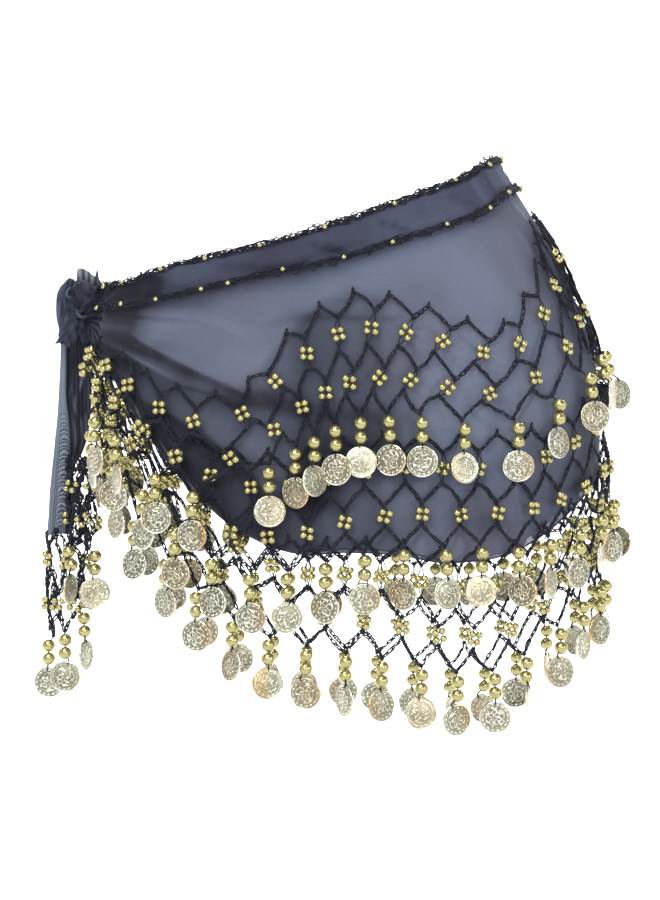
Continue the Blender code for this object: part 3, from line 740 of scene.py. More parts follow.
def chain_stitches(first, second, pitch, bow):
    """Stitches along chains between spots: each chain's line is straight plus a parabola of height bow.

    Returns the centre of each stitch, its heading on the cloth, and how far it is stretched.
    """
    way = second - first
    length = np.hypot(way[:, 0], way[:, 1])
    count = np.maximum(2, np.round(length / pitch)).astype(int)
    chain = np.repeat(np.arange(len(first)), count)
    part = (np.arange(count.sum()) - (np.cumsum(count) - count)[chain] + 0.5) / count[chain]
    side = stacked(-way[:, 1], way[:, 0]) / length[:, None]
    centre = first[chain] + way[chain] * part[:, None]
    centre[:, :2] += side[chain] * (bow[chain] * 4 * part * (1 - part))[:, None]
    heading = way[chain, :2] / length[chain, None]
    heading = heading + side[chain] * (bow[chain] * 4 * (1 - 2 * part) / length[chain])[:, None]
    heading /= np.linalg.norm(heading, axis=1, keepdims=True)
    return centre, heading, (length / count / pitch)[chain]


def lay_stitches(place, shape, faces, stitches, rng, width=1.0):
    """Chain stitches on a surface: each loop is twisted about its chain, widened or narrowed, laid flat."""
    centre, heading, stretch = stitches
    count = len(centre)
    twist = rng.normal(0.0, 0.42, count)[:, None]
    wide = width * rng.normal(1.0, 0.13, count)[:, None]
    middle = shape[:, 2].mean()
    x = shape[None, :, 0] * (stretch * rng.normal(1.0, 0.07, count))[:, None]
    y = shape[None, :, 1] * np.cos(twist) * wide - (shape[None, :, 2] - middle) * np.sin(twist)
    z = middle + shape[None, :, 1] * np.sin(twist) + (shape[None, :, 2] - middle) * np.cos(twist)
    y = y + rng.normal(0.0, 0.18, count)[:, None]
    along = centre[:, None, 0] + x * heading[:, None, 0] - y * heading[:, None, 1]
    height = centre[:, None, 1] + x * heading[:, None, 1] + y * heading[:, None, 0]
    points = place(along, height, centre[:, None, 2] + np.maximum(z, 0.1))
    starts = np.arange(count)[:, None, None] * len(shape)
    return points.reshape(-1, 3), [(part[None] + starts).reshape(-1, part.shape[1]) for part in faces]


def settle(groups):
    """Shifts of bodies of beads until none overlap: (spots, radii) in, one shift for each body out.

    In each round every overlapping pair pushes its two bodies apart by half its overlap; a body never
    sinks below the place it started from.
    """
    spots = np.concatenate([spots.reshape(-1, 3) for spots, _ in groups])
    radii = np.concatenate([np.tile(radii, len(spots)) for spots, radii in groups])
    sizes = np.concatenate([np.full(len(spots), len(radii)) for spots, radii in groups])
    body = np.repeat(np.arange(len(sizes)), sizes)
    shifts = np.zeros((len(sizes), 3))
    apart = body[:, None] != body[None]
    for _ in range(SETTLE_ROUNDS):
        here = spots + shifts[body]
        gap = here[:, None] - here[None]
        distance = np.sqrt((gap**2).sum(axis=2)) + 1e-6
        overlap = np.clip(radii[:, None] + radii[None] - distance, 0.0, None) * apart
        push = (gap * (overlap / distance)[..., None]).sum(axis=1) * 0.5
        moved = np.zeros_like(shifts)
        np.add.at(moved, body, push)
        shifts += np.clip(moved, -SETTLE_STEP, SETTLE_STEP) * SETTLE_WAYS
        shifts[:, 2] = np.maximum(shifts[:, 2], 0.0)
    starts = np.cumsum([0] + [len(spots) for spots, _ in groups])
    return [shifts[a:b] for a, b in zip(starts[:-1], starts[1:])]


def knots(place, spots, size, rng):
    """A tight lump of yarn at each spot where chains meet."""
    shape, faces = ball(6, 4)
    here, axes = axes_at(place, spots[:, 0], spots[:, 1], spots[:, 2] + 0.75 * size)
    axes = turned(axes, roll=rng.uniform(-60, 60, len(spots)))
    return copies(shape * np.array([1.15, 0.95, 0.8]) * size * MM, faces, here, axes)


class Yarnwork:
    """Collects the stitches, threads, beads and coins of one crochet piece, then adds them as pieces."""

    def __init__(self, place, sizes, seed):
        self.place = place
        self.sizes = sizes
        self.rng = np.random.default_rng(seed)
        self.link = link_shape(sizes.pitch / MM, sizes.chain / MM, sizes.yarn / MM)
        self.small_radius = sizes.small_bead / MM / 2
        self.large_radius = sizes.large_bead / MM / 2
        self.coin_radius = sizes.coin / MM / 2
        self.yarn, self.small, self.large, self.coins, self.coin_tones = [], [], [], [], []

    def chains(self, first, second, bow):
        """Chains of stitches between spots, each with a loose strand that weaves from side to side."""
        bows = bow + self.rng.normal(0.0, 0.9, len(first))
        stitches = chain_stitches(first, second, self.sizes.pitch / MM, bows)
        self.yarn.append(lay_stitches(self.place, *self.link, stitches, self.rng))
        part = np.linspace(0.0, 1.0, STRAND_POINTS)
        way = second - first
        length = np.hypot(way[:, 0], way[:, 1])[:, None]
        phase = self.rng.uniform(0, PHASES, (len(first), 1))
        turns = length / (self.sizes.pitch / MM) * self.rng.uniform(0.8, 1.5, (len(first), 1))
        reach = self.sizes.chain / MM * self.rng.uniform(0.22, 0.50, (len(first), 1))
        off = bows[:, None] * 4 * part * (1 - part) + reach * np.sin(np.pi * turns * part + phase)
        path = first[:, None] + way[:, None] * part[:, None]
        path[..., 0] -= off * way[:, 1:2] / length
        path[..., 1] += off * way[:, 0:1] / length
        path[..., 2] += 1.1 + 0.5 * np.cos(2 * np.pi * turns * part + phase)
        self.threads(path)

    def threads(self, path, share=1.0):
        """Threads of a share of the yarn's thickness through rows of places (threads, points, 3)."""
        world = self.place(path[..., 0], path[..., 1], path[..., 2])
        self.yarn.append(sweep(world, self.sizes.yarn * share, 4, lean=THREAD_LEAN))

    def knots(self, spots, size=1.5):
        """A lump of yarn of a size at each spot."""
        self.yarn.append(knots(self.place, spots, size, self.rng))

    def cords(self, rows, out, knots=9):
        """Cords of chain that run down and weave from side to side: rows of (along, top, foot, sway)."""
        part = np.linspace(0.0, 1.0, knots)
        for number, (start, top, foot, sway) in enumerate(rows):
            along = start + sway * np.sin(9.0 * part + 2.1 * number) + self.rng.normal(0, 0.7, knots)
            height = top + (foot - top) * part
            over = out(along, height) + self.rng.uniform(0.0, 1.6, knots)
            cord = stacked(along, height, over)
            self.chains(cord[:-1], cord[1:], 0.0)
            self.knots(cord[::2], 1.1)

    def picots(self, spots, up=1.0):
        """A small upright loop over each peak: one tight stitch that heads up, or down, out of the knot."""
        count = len(spots)
        lean = np.radians(90 * up + self.rng.normal(0, 16, count))
        heading = stacked(np.cos(lean), np.sin(lean))
        centre = spots.copy()
        centre[:, :2] += heading * 1.2
        centre[:, 2] += 0.3
        stitches = (centre, heading, self.rng.normal(0.68, 0.07, count))
        self.yarn.append(lay_stitches(self.place, *self.link, stitches, self.rng, 0.62))
        tips = centre.copy()
        tips[:, :2] += heading * 1.1
        self.knots(tips, 1.0)

    def plan_links(self, upper, lower, share):
        """Four bead places for each link from an upper spot to a lower one, set square and then skewed."""
        count = len(upper)
        way = lower - upper
        down = way[:, :2] / np.hypot(way[:, 0], way[:, 1])[:, None]
        side = stacked(-down[:, 1], down[:, 0])
        middle = upper + way * share
        middle[:, 2] += self.small_radius + 0.1
        lean = np.radians(self.rng.normal(0, 14, count))
        splay = self.rng.normal(1.0, 0.05, count)
        skew = self.rng.normal(0.0, 0.13, count)
        beads = []
        for across, along in ((-1, -1), (1, -1), (-1, 1), (1, 1)):
            x = 0.94 * self.small_radius * (splay * across + skew * along)
            y = 0.94 * self.small_radius * along + self.rng.normal(0, 0.12, count)
            x, y = x * np.cos(lean) - y * np.sin(lean), x * np.sin(lean) + y * np.cos(lean)
            spot = middle.copy()
            spot[:, :2] += side * x[:, None] + down * y[:, None]
            spot[:, 2] += self.rng.normal(0, 0.2, count)
            beads.append(spot)
        return np.stack(beads, axis=1)

    def add_links(self, upper, lower, beads):
        """The beads of each link, and its two threads: upper spot, two beads, lower spot."""
        self.add_balls(self.small, beads.reshape(-1, 3), self.small_radius, 10, 7)
        top, foot = upper + (0.0, 0.0, 0.8), lower + (0.0, 0.0, 0.8)
        for first, second in ((0, 2), (1, 3)):
            into, out_of = beads[:, first], beads[:, second]
            path = np.stack([top, (top + into) / 2, into, out_of, (out_of + foot) / 2, foot], axis=1)
            self.threads(path, 0.85)

    def add_balls(self, into, spots, radius, around, down, flat=0.94):
        """Beads of a radius at each spot, put into one of the lists of beads."""
        shape, faces = ball(around, down, flat)
        here, axes = axes_at(self.place, spots[:, 0], spots[:, 1], spots[:, 2])
        axes = turned(axes, roll=self.rng.uniform(-25, 25, len(spots)))
        into.append(copies(shape * radius * MM, faces, here, axes))

    def plan_drops(self, feet, floor, extra, turns):
        """Places of two large beads and a coin below each foot.

        floor(height) is how far out the layers beneath reach; extra lifts a drop over its neighbours.
        """
        bead, coin = self.large_radius, self.coin_radius
        first = feet[:, 1] - 1.6 - bead
        second = first - 1.96 * bead
        middle = second - bead - 0.8 - coin
        bead_out = np.maximum(floor(first), floor(second)) + bead + 0.4 + extra
        coin_out = np.maximum(bead_out, floor(middle) + 0.9 + coin * np.abs(np.sin(np.radians(turns))))
        sway = self.rng.normal(0.0, 0.55, len(feet))
        along = feet[:, 0]
        rows = ((along + 0.3 * sway, first, bead_out), (along + sway, second, bead_out + 0.2),
                (along + 1.4 * sway, middle, coin_out))
        return np.stack([stacked(*row) for row in rows], axis=1)

    def add_drops(self, feet, spots, turns):
        """Large beads, coins and the thread: out of the foot, through both beads, into the coin's hole."""
        coin = self.coin_radius
        for row in (0, 1):
            self.add_balls(self.large, spots[:, row], self.large_radius, 16, 11, 0.95)
        here, axes = axes_at(self.place, *spots[:, 2].T)
        roll, pitch = self.rng.normal(0, 9, len(feet)), self.rng.normal(0, 4.0, len(feet))
        axes = turned(axes, yaw=turns, roll=roll, pitch=pitch)
        shape, faces, relief = coin_shape(coin, self.sizes.coin_edge / MM)
        self.coins.append(copies(shape * MM, faces, here, axes))
        tone = self.rng.normal(0.12, 0.22, (len(feet), 1))
        slope = self.rng.normal(0.0, 0.45, (len(feet), 1))
        tones = np.clip(tone + slope * shape[:, 0] / coin, 0.0, 1.0)
        spin = self.rng.uniform(0, PHASES, (len(feet), 1))
        x, y = shape[:, 0] / coin, shape[:, 1] / coin
        x, y = x * np.cos(spin) - y * np.sin(spin), x * np.sin(spin) + y * np.cos(spin)
        stamp = stacked(x, y)
        self.coin_tones.append((tones.ravel(), np.tile(relief, len(feet)), stamp.reshape(-1, 2)))
        start = self.place(feet[:, 0], feet[:, 1], feet[:, 2] + 0.8)
        upper, lower = (self.place(*spots[:, row].T) for row in (0, 1))
        up, outward = axes[:, 1] * MM, axes[:, 2] * MM
        for face in (1.0, -1.0):
            over = here + up * (coin + 0.5) + outward * face * 0.3
            edge = here + up * (coin - 1.2) + outward * face * 1.1
            into = here + up * (coin - 2.6) + outward * face * 0.5
            path = np.stack([start, upper, lower, over, edge, into], axis=1)
            path = path if face > 0 else path[:, 2:]
            self.yarn.append(sweep(path, self.sizes.yarn, 4, lean=THREAD_LEAN))

    def add(self, name, finishes, net_nodes=(), drop_nodes=()):
        """Adds what was collected: yarn, small beads, large beads and coins, each as one piece."""
        points, faces = joined(self.yarn)
        yarn = add_piece(f"{name}_yarn", points, faces, finishes["yarn"], "yarn")
        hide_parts(*net_nodes)
        if self.small:
            add_piece(f"{name}_small_beads", *joined(self.small), finishes["gilt"], "gilt_bead")
        if self.large:
            add_piece(f"{name}_large_beads", *joined(self.large), finishes["gilt"], "gilt_bead")
            tones, relief, stamp = (np.concatenate(parts) for parts in zip(*self.coin_tones))
            coins = add_piece(f"{name}_coins", *joined(self.coins), finishes["coin"], "coin", stamp,
                              {"tone": tones, "relief": relief}, uv_name="stamp")
            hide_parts(*drop_nodes)


# ---- coins ----
COIN_AROUND = 32
COIN_RINGS = (0.22, 0.46, 0.66, 0.74, 0.80, 0.87, 0.94, 1.0)
COIN_DOTS = 16
COIN_DOME = 0.85        # how far the middle is pressed out, millimetres
COIN_RELIEF = 0.46
COIN_RIM, COIN_DOT_RING = 0.94, 0.80        # radii of the rim and of the ring of dots, shares of the coin's
COIN_RIDGE = 0.05       # half width of both


def coin_shape(radius, edge):
    """A stamped disc in millimetres, x across, y up and z out of its face, and how raised each point is.

    Both faces are domes 1 - r^2; over them stand a round rim and a ring of dots, a cosine of turns. The
    scrolls within are pressed by the coin's finish.
    """
    r, turn = np.meshgrid(COIN_RINGS, np.arange(COIN_AROUND) * 2 * np.pi / COIN_AROUND, indexing="ij")
    rim = hump(r, COIN_RIM, COIN_RIDGE)
    dots = hump(r, COIN_DOT_RING, COIN_RIDGE) * (0.5 + 0.5 * np.cos(COIN_DOTS * turn))
    raised = np.clip(rim + 0.9 * dots, 0.0, 1.1)
    height = COIN_DOME * (1 - r**2) + COIN_RELIEF * raised * (r < 1.0)
    front = stacked(radius * r * np.cos(turn), radius * r * np.sin(turn), edge / 2 + height)
    back = front.copy()
    back[..., 2] = -edge / 2 + COIN_DOME * (1 - r**2) - COIN_RELIEF * raised * (r < 1.0)
    middle = [(0, 0, edge / 2 + COIN_DOME + 0.1), (0, 0, -edge / 2 + COIN_DOME - 0.1)]
    shape = np.concatenate([front.reshape(-1, 3), back.reshape(-1, 3), middle])
    relief = np.concatenate([raised.ravel(), raised.ravel(), [0.0, 0.0]])
    rings, half = len(COIN_RINGS), r.size
    face = grid_faces(rings, COIN_AROUND, closed=True)
    n = np.arange(COIN_AROUND)
    after = (n + 1) % COIN_AROUND
    caps = fans(COIN_AROUND, 2 * half, 2 * half + 1, half)
    outer = (rings - 1) * COIN_AROUND
    wall = stacked(outer + n, half + outer + n, half + outer + after, outer + after)
    quads = np.concatenate([face[:, ::-1], face + half, wall])
    return shape, [quads, caps], relief


# ---- finishes ----
class Value:
    """A shader number: its operators add Math nodes."""

    def __init__(self, finish, socket):
        self.finish, self.socket = finish, socket

    def math(self, operation, *others, swap=False):
        terms = [self.socket] + [getattr(other, "socket", other) for other in others]
        if swap:
            terms = terms[::-1]
        node = self.finish.node("ShaderNodeMath", dict(enumerate(terms)), operation=operation)
        return Value(self.finish, node.outputs[0])

    def __add__(self, other):
        return self.math("ADD", other)

    def __mul__(self, other):
        return self.math("MULTIPLY", other)

    def __sub__(self, other):
        return self.math("SUBTRACT", other)

    def __rsub__(self, other):
        return self.math("SUBTRACT", other, swap=True)

    __radd__, __rmul__ = __add__, __mul__

    def sine(self):
        return self.math("SINE")

    def between(self, low, high):
        return self.math("MAXIMUM", low).math("MINIMUM", high)


class Finish:
    """A material under a maker's name; its method node adds any node with its settings and sockets."""

    def __init__(self, name, **plain):
        self.material = bpy.data.materials.new(name)
        self.material.use_nodes = True
        self.tree = self.material.node_tree
        self.shader = self.tree.nodes["Principled BSDF"]
        for key, value in plain.items():
            self.feed(self.shader.inputs[key.replace("_", " ")], value)

    def feed(self, socket, value):
        value = getattr(value, "socket", value)
        if isinstance(value, bpy.types.NodeSocket):
            self.tree.links.new(value, socket)
        elif hasattr(socket.default_value, "__len__") and len(socket.default_value) == 4:
            socket.default_value = (*value[:3], 1.0)
        else:
            socket.default_value = value

    def node(self, kind, sockets=None, **settings):
        made = self.tree.nodes.new(kind)
        for name, value in settings.items():
            setattr(made, name, value)
        for key, value in (sockets or {}).items():
            self.feed(made.inputs[key], value)
        return made

    def attribute(self, name):
        return Value(self, self.node("ShaderNodeAttribute", attribute_name=name).outputs["Fac"])

    def noise(self, place, scale, detail=2.0, stretch=(1.0, 1.0, 1.0)):
        if stretch != (1.0, 1.0, 1.0):
            place = self.node("ShaderNodeMapping", {"Vector": place, "Scale": stretch}).outputs[0]
        node = self.node("ShaderNodeTexNoise", {"Vector": place, "Scale": scale, "Detail": detail})
        return Value(self, node.outputs[0])

    def blend(self, factor, first, second, kind="MIX"):
        """Two colours mixed by a factor: a Mix node's sockets 0, 6 and 7, and its colour out is 2."""
        node = self.node("ShaderNodeMix", {0: factor, 6: first, 7: second}, data_type="RGBA",
                         blend_type=kind, clamp_factor=True)
        return node.outputs[2]

    def bump(self, height, strength, distance):
        node = self.node("ShaderNodeBump", {"Height": height, "Strength": strength, "Distance": distance})
        self.feed(self.shader.inputs["Normal"], node.outputs[0])

    def set(self, name, value):
        self.feed(self.shader.inputs[name], value)


def scaled(colour, shares):
    """A colour with each of its parts taken by a share."""
    return tuple(share * part for share, part in zip(shares, colour))


THREAD = 0.00042        # distance between two threads of the chiffon, metres


def chiffon_finish(name, first, second, doubled, alpha, alpha_doubled, shine=0.16, sheen=0.10):
    """Sheer cloth: two tints in soft clouds, darker by its layers and by the painted shade that the mesh
    carries, fine streaks and weave.
    """
    finish = Finish(name, Roughness=0.72, Specular_IOR_Level=shine, Sheen_Weight=sheen,
                    Sheen_Roughness=0.42, Sheen_Tint=(0.62, 0.68, 0.92))
    place = finish.node("ShaderNodeUVMap", uv_map="cloth").outputs[0]
    parts = finish.node("ShaderNodeSeparateXYZ", {0: place})
    u, v = (Value(finish, parts.outputs[i]) for i in (0, 1))
    # how dark the cloth is: its layers, and painted shade and highlights
    layers_and_painted_shade = finish.attribute("layers_and_painted_shade")
    clouds = finish.noise(place, 13.0, 3.0)
    streaks = finish.noise(place, 1.0, 4.0, (260.0, 620.0, 1.0))
    wisps = finish.noise(place, 1.0, 3.0, (90.0, 24.0, 1.0))
    tint = finish.blend((clouds * 3.2 - 1.15).between(0.0, 1.0), second, first)
    layers = finish.blend((layers_and_painted_shade + (wisps - 0.5) * 0.28).between(0.0, 1.0), tint, doubled)
    shade = 1.0 + (streaks - 0.5) * 0.26 + (wisps - 0.5) * 0.26
    grey = finish.node("ShaderNodeCombineColor", {0: shade, 1: shade, 2: shade}).outputs[0]
    finish.set("Base Color", finish.blend(1.0, layers, grey, "MULTIPLY"))
    weave = (u * (2 * math.pi / THREAD)).sine() * (v * (2 * math.pi / THREAD)).sine()
    finish.set("Alpha", (alpha + (alpha_doubled - alpha) * layers_and_painted_shade + 0.05 * weave).between(0.0, 1.0))
    finish.bump(weave + (streaks - 0.5) * 0.8, 0.25, 0.0001)
    return finish.material


def yarn_finish(colours):
    """Soft black yarn: two darks in small patches, and a fibrous grain."""
    finish = Finish("crochet_yarn", Roughness=0.74, Specular_IOR_Level=0.22, Sheen_Weight=0.06,
                    Sheen_Roughness=0.5, Sheen_Tint=(0.55, 0.6, 0.85))
    place = finish.node("ShaderNodeTexCoord").outputs["Object"]
    grain = finish.noise(place, 2600.0, 2.0)
    patches = finish.noise(place, 240.0, 1.0)
    pale = scaled(colours.yarn, (3.2, 3.2, 3.2))
    finish.set("Base Color", finish.blend((patches * 2.4 - 0.9).between(0.0, 1.0), colours.yarn, pale))
    finish.bump(grain, 0.55, 0.0004)
    return finish.material


def gilt_finish(colours):
    """Bright gilt with faint cloudiness in its polish and a warmer tone in patches."""
    finish = Finish("bright_gilt", Metallic=0.85, Specular_Tint=(0.85, 0.82, 0.58))
    place = finish.node("ShaderNodeTexCoord").outputs["Object"]
    cloud = finish.noise(place, 420.0, 2.0)
    warm = scaled(colours.gilt, (0.98, 0.90, 0.76))
    finish.set("Base Color", finish.blend((cloud * 2.0 - 0.6).between(0.0, 1.0), colours.gilt, warm))
    finish.set("Roughness", 0.14 + cloud * 0.12)
    finish.bump(finish.noise(place, 700.0, 1.0), 0.03, 0.0003)
    return finish.material


def coin_finish(colours):
    """Stamped sheet: painted light on what is raised and painted shade in the recesses, some coins warmer
    than others.

    The scrolls are two sets of curved arms that cross, sin(7 turn + 13 r) and sin(5 turn - 18 r), bent by a
    noise and kept inside a ring of dots, a sine of turns.
    """
    finish = Finish("stamped_coin", Metallic=1.0)
    place = finish.node("ShaderNodeTexCoord").outputs["Object"]
    stamp = finish.node("ShaderNodeUVMap", uv_map="stamp").outputs[0]
    parts = finish.node("ShaderNodeSeparateXYZ", {0: stamp})
    x, y = (Value(finish, parts.outputs[i]) for i in (0, 1))
    turn = y.math("ARCTAN2", x)
    bent = turn + finish.noise(place, 230.0, 1.0) * 2.0
    r = (x * x + y * y).math("POWER", 0.5)
    first = (bent * 7.0 + r * 13.0).sine()
    second = (bent * 5.0 - r * 18.0).sine()
    inside = ((0.66 - r) * 14.0).between(0.0, 1.0)
    scroll = (first.math("MAXIMUM", second) * 2.2 - 1.25).between(0.0, 1.0) * inside
    off_ring = (r - 0.79) * 13.0
    dots = ((turn * float(COIN_DOTS)).sine() * 0.9 - off_ring * off_ring * 1.6 + 0.5).between(0.0, 1.0)
    rim = ((r - 0.90) * 30.0).between(0.0, 1.0)
    pressed = (scroll + dots + rim).between(0.0, 1.0)
    tone = finish.attribute("tone")
    raised = (finish.attribute("relief") * 0.4 + pressed).between(0.0, 1.0)
    grain = finish.noise(place, 1300.0, 3.0)
    wear = finish.noise(place, 160.0, 2.0)
    metal = finish.blend((tone + (wear - 0.5) * 0.5).between(0.0, 1.0), colours.coin, colours.coin_warm)
    # painted shade in the recesses and painted light on what is raised, with a fine grain
    recess_shade = scaled(colours.coin, (0.30, 0.295, 0.245))
    relief_light_and_grain = (raised * 1.1 + grain * 0.7 - 0.25).between(0.0, 1.0)
    finish.set("Base Color", finish.blend(relief_light_and_grain, recess_shade, metal))
    finish.set("Roughness", (0.34 - raised * 0.18 + (wear - 0.5) * 0.16).between(0.10, 0.6))
    finish.bump(pressed + grain * 0.12, 0.60, 0.0005)
    return finish.material


def finishes_of(colours):
    """Every finish by its slot's short name, made once."""
    if "sheer_chiffon" not in bpy.data.materials:
        chiffon, mauve, doubled = colours.chiffon, colours.chiffon_mauve, colours.doubled
        chiffon_finish("sheer_chiffon", chiffon, mauve, doubled, 0.90, 0.97)
        dusk, plum = scaled(chiffon, (0.95, 0.97, 0.97)), scaled(mauve, (0.92, 0.88, 0.98))
        chiffon_finish("doubled_chiffon", dusk, plum, doubled, 0.96, 0.99, shine=0.09, sheen=0.045)
        # the tied ends: the same chiffon painted paler, a lit copy, so that their painted highlights reach
        # pale
        pale, soft = scaled(chiffon, (2.4, 2.4, 1.92)), scaled(chiffon, (1.75, 1.75, 1.55))
        chiffon_finish("tied_chiffon_painted_light", pale, soft, doubled, 0.94, 0.99)
        yarn_finish(colours)
        gilt_finish(colours)
        coin_finish(colours)
    names = {"chiffon": "sheer_chiffon", "doubled": "doubled_chiffon", "tail": "tied_chiffon_painted_light",
             "yarn": "crochet_yarn", "gilt": "bright_gilt", "coin": "stamped_coin"}
    return {slot: bpy.data.materials[name] for slot, name in names.items()}


# ---- chiffon ----
PANEL_START = 3.0       # the cloth's ends stand this far along from the middle of the knot
PANEL_ALONGS, PANEL_ROWS = 468, 115
BAND_ALONGS, BAND_AROUND = 480, 26
SEAM_GAP = 0.3
HEM_RADIUS = 0.65
HEM_SHADE = 0.6         # how dark the rolled hem is


def make_chiffon(colours):
    """The panel: a grid from the band line to the hem, lifted by the folds, and its rolled hem."""
    finishes = finishes_of(colours)
    along = np.linspace(PANEL_START, GIRTH - PANEL_START, PANEL_ALONGS)
    down = np.linspace(0.0, 1.0, PANEL_ROWS)
    down_grid, along_grid = np.meshgrid(down, along, indexing="ij")
    top, foot = line("band", along_grid) - SEAM_GAP, line("hem", along_grid) - SEAM_GAP
    height = top + (foot - top) * down_grid
    points = on_hips(along_grid, height, CLOTH / 2)
    uv = stacked(along_grid, height) * MM
    faces = grid_faces(PANEL_ROWS, PANEL_ALONGS)[:, ::-1]
    # the mesh carries how dark the cloth is: its layers, and painted shade and highlights
    panel = add_piece("chiffon", points, [faces], finishes["chiffon"], "chiffon", uv,
                      {"layers_and_painted_shade": shade_at(along_grid, height)})
    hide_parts("chiffon_panel")
    edge = np.concatenate([points[::3, 0], points[-1], points[::-3, -1]])[None]
    keep = np.concatenate(([True], np.linalg.norm(np.diff(edge[0], axis=0), axis=1) > 1e-6))
    hem_points, hem_faces = sweep(edge[:, keep], HEM_RADIUS * MM, 6, lean=(0.02, 0.05, 1.0))
    hem = add_piece("rolled_hem", hem_points, hem_faces, finishes["doubled"], "chiffon_doubled",
                    hem_points[:, [0, 2]], {"layers_and_painted_shade": np.full(len(hem_points), HEM_SHADE)})
    tall = line("band", along) - line("hem", along)


# Where the band's cloth is pulled, in the columns of the creases; the tone is painted shade (below 0,
# painted highlight) along the pull.
BAND_PULLS = (
    (190, -44, 232, -40, 0.0, 2.2, -0.7, 0.24),
    (198, -52, 244, -40, 1.0, 2.4, -0.6, 0.18),
    (206, -42, 236, -49, 0.0, 2.0, 0.6, -0.12),
    (238, -30, 262, -34, 0.0, 2.2, -0.6, 0.16),
    (248, -38, 282, -10, 1.0, 2.0, -0.5, 0.12),
    (262, -16, 276, -24, 0.0, 1.8, -0.7, 0.22),
    (282, -2, 292, -10, 0.0, 1.6, -0.7, 0.24),
    (286, -12, 316, 12, 0.0, 2.6, 0.6, -0.08),
    (304, 16, 316, 6, 0.0, 2.2, -0.6, 0.14),
    (317, 30, 320, 4, 0.0, 3.0, 0.6, -0.26),
    (325, 34, 326, 10, 0.0, 2.4, -0.6, 0.16),
    (336, 38, 340, 16, 0.0, 2.6, 0.6, -0.18),
)
# How dark the doubled cloth of the band is, by angle on the front.
BAND_SHADE = ((180, 0.46), (229, 0.56), (240, 0.52), (251, 0.68), (271, 0.64), (279, 0.60), (288, 0.52),
              (300, 0.46), (315, 0.52), (332, 0.52), (360, 0.48))
BAND_KNOT_SHADE = 14.0  # how much further from the knot than on the panel it is dark


def make_waistband(colours):
    """The band: a flattened tube of doubled chiffon, a superellipse carried round between two lines."""
    finishes = finishes_of(colours)
    along = np.linspace(PANEL_START, GIRTH - PANEL_START, BAND_ALONGS)
    turn = full_turn(BAND_AROUND)
    along_grid, turn_grid = np.meshgrid(along, turn, indexing="ij")
    part = np.sign(np.cos(turn_grid)) * np.abs(np.cos(turn_grid)) ** 0.75
    face = np.sign(np.sin(turn_grid)) * np.abs(np.sin(turn_grid)) ** 0.45
    top, foot = line("rim", along_grid), line("band", along_grid)
    height = (top + foot) / 2 + (top - foot) / 2 * part
    ripple = 0.35 * np.sin(9.0 * part + 0.021 * along_grid + 1.4 * np.sin(0.043 * along_grid))
    ripple += 0.25 * np.sin(5.0 * part - 0.034 * along_grid)
    run, level = mirrored_place(along_grid, height)
    # painted shade towards the knot and along the pulls, over the band's darkness by angle
    dark = through(BAND_SHADE, angle_at(run)) + knot_shade(run, level, BAND_KNOT_SHADE)
    for row in BAND_PULLS:
        pull = bell(run, level, row, CREASE_FADE)
        ripple = ripple + row[RISE] * pull
        dark = dark + row[PAINTED_SHADE] * pull
    out = BAND_CLOTH / 2 + 0.62 * face + np.clip(face, 0, 1) * ripple
    points = on_hips(along_grid, height, out)
    uv = stacked(along_grid, height) * MM
    band = add_piece("waistband_cloth", points, tube_faces(BAND_ALONGS, BAND_AROUND), finishes["doubled"],
                     "chiffon_doubled", uv, {"layers_and_painted_shade": np.clip(dark, 0.0, 1.0)})
    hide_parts("waistband")
    tall = line("rim", along) - line("band", along)


# ---- edging ----
TOP_BEADS = (196, 210, 225, 238, 252, 268, 288, 310, 331, 352)       # degrees round the front
LOWER_BEADS = (196, 213, 226, 238, 245, 258, 272, 285, 301, 317, 332, 350)
BACK_BEAD_STEP = 26.0
TOP_SNAGS = (218, 284, 297, 322, 395, 440, 468)  # where a loop of the edging stands loose
LOWER_SNAGS = (278, 295, 309, 402, 431, 476)
LOOSE_REACH = 2.2       # how far a loose stretch of yarn stands off its chain
EDGING_INSET = 12       # an edging starts this far along from the cloth's end
# The chains of an edging: how far along by a share of a stitch, how far out, and how far up.
EDGING_CHAINS = ((0.0, 0.0, 0.2), (0.5, 0.9, -0.9), (0.25, 0.5, 1.1))


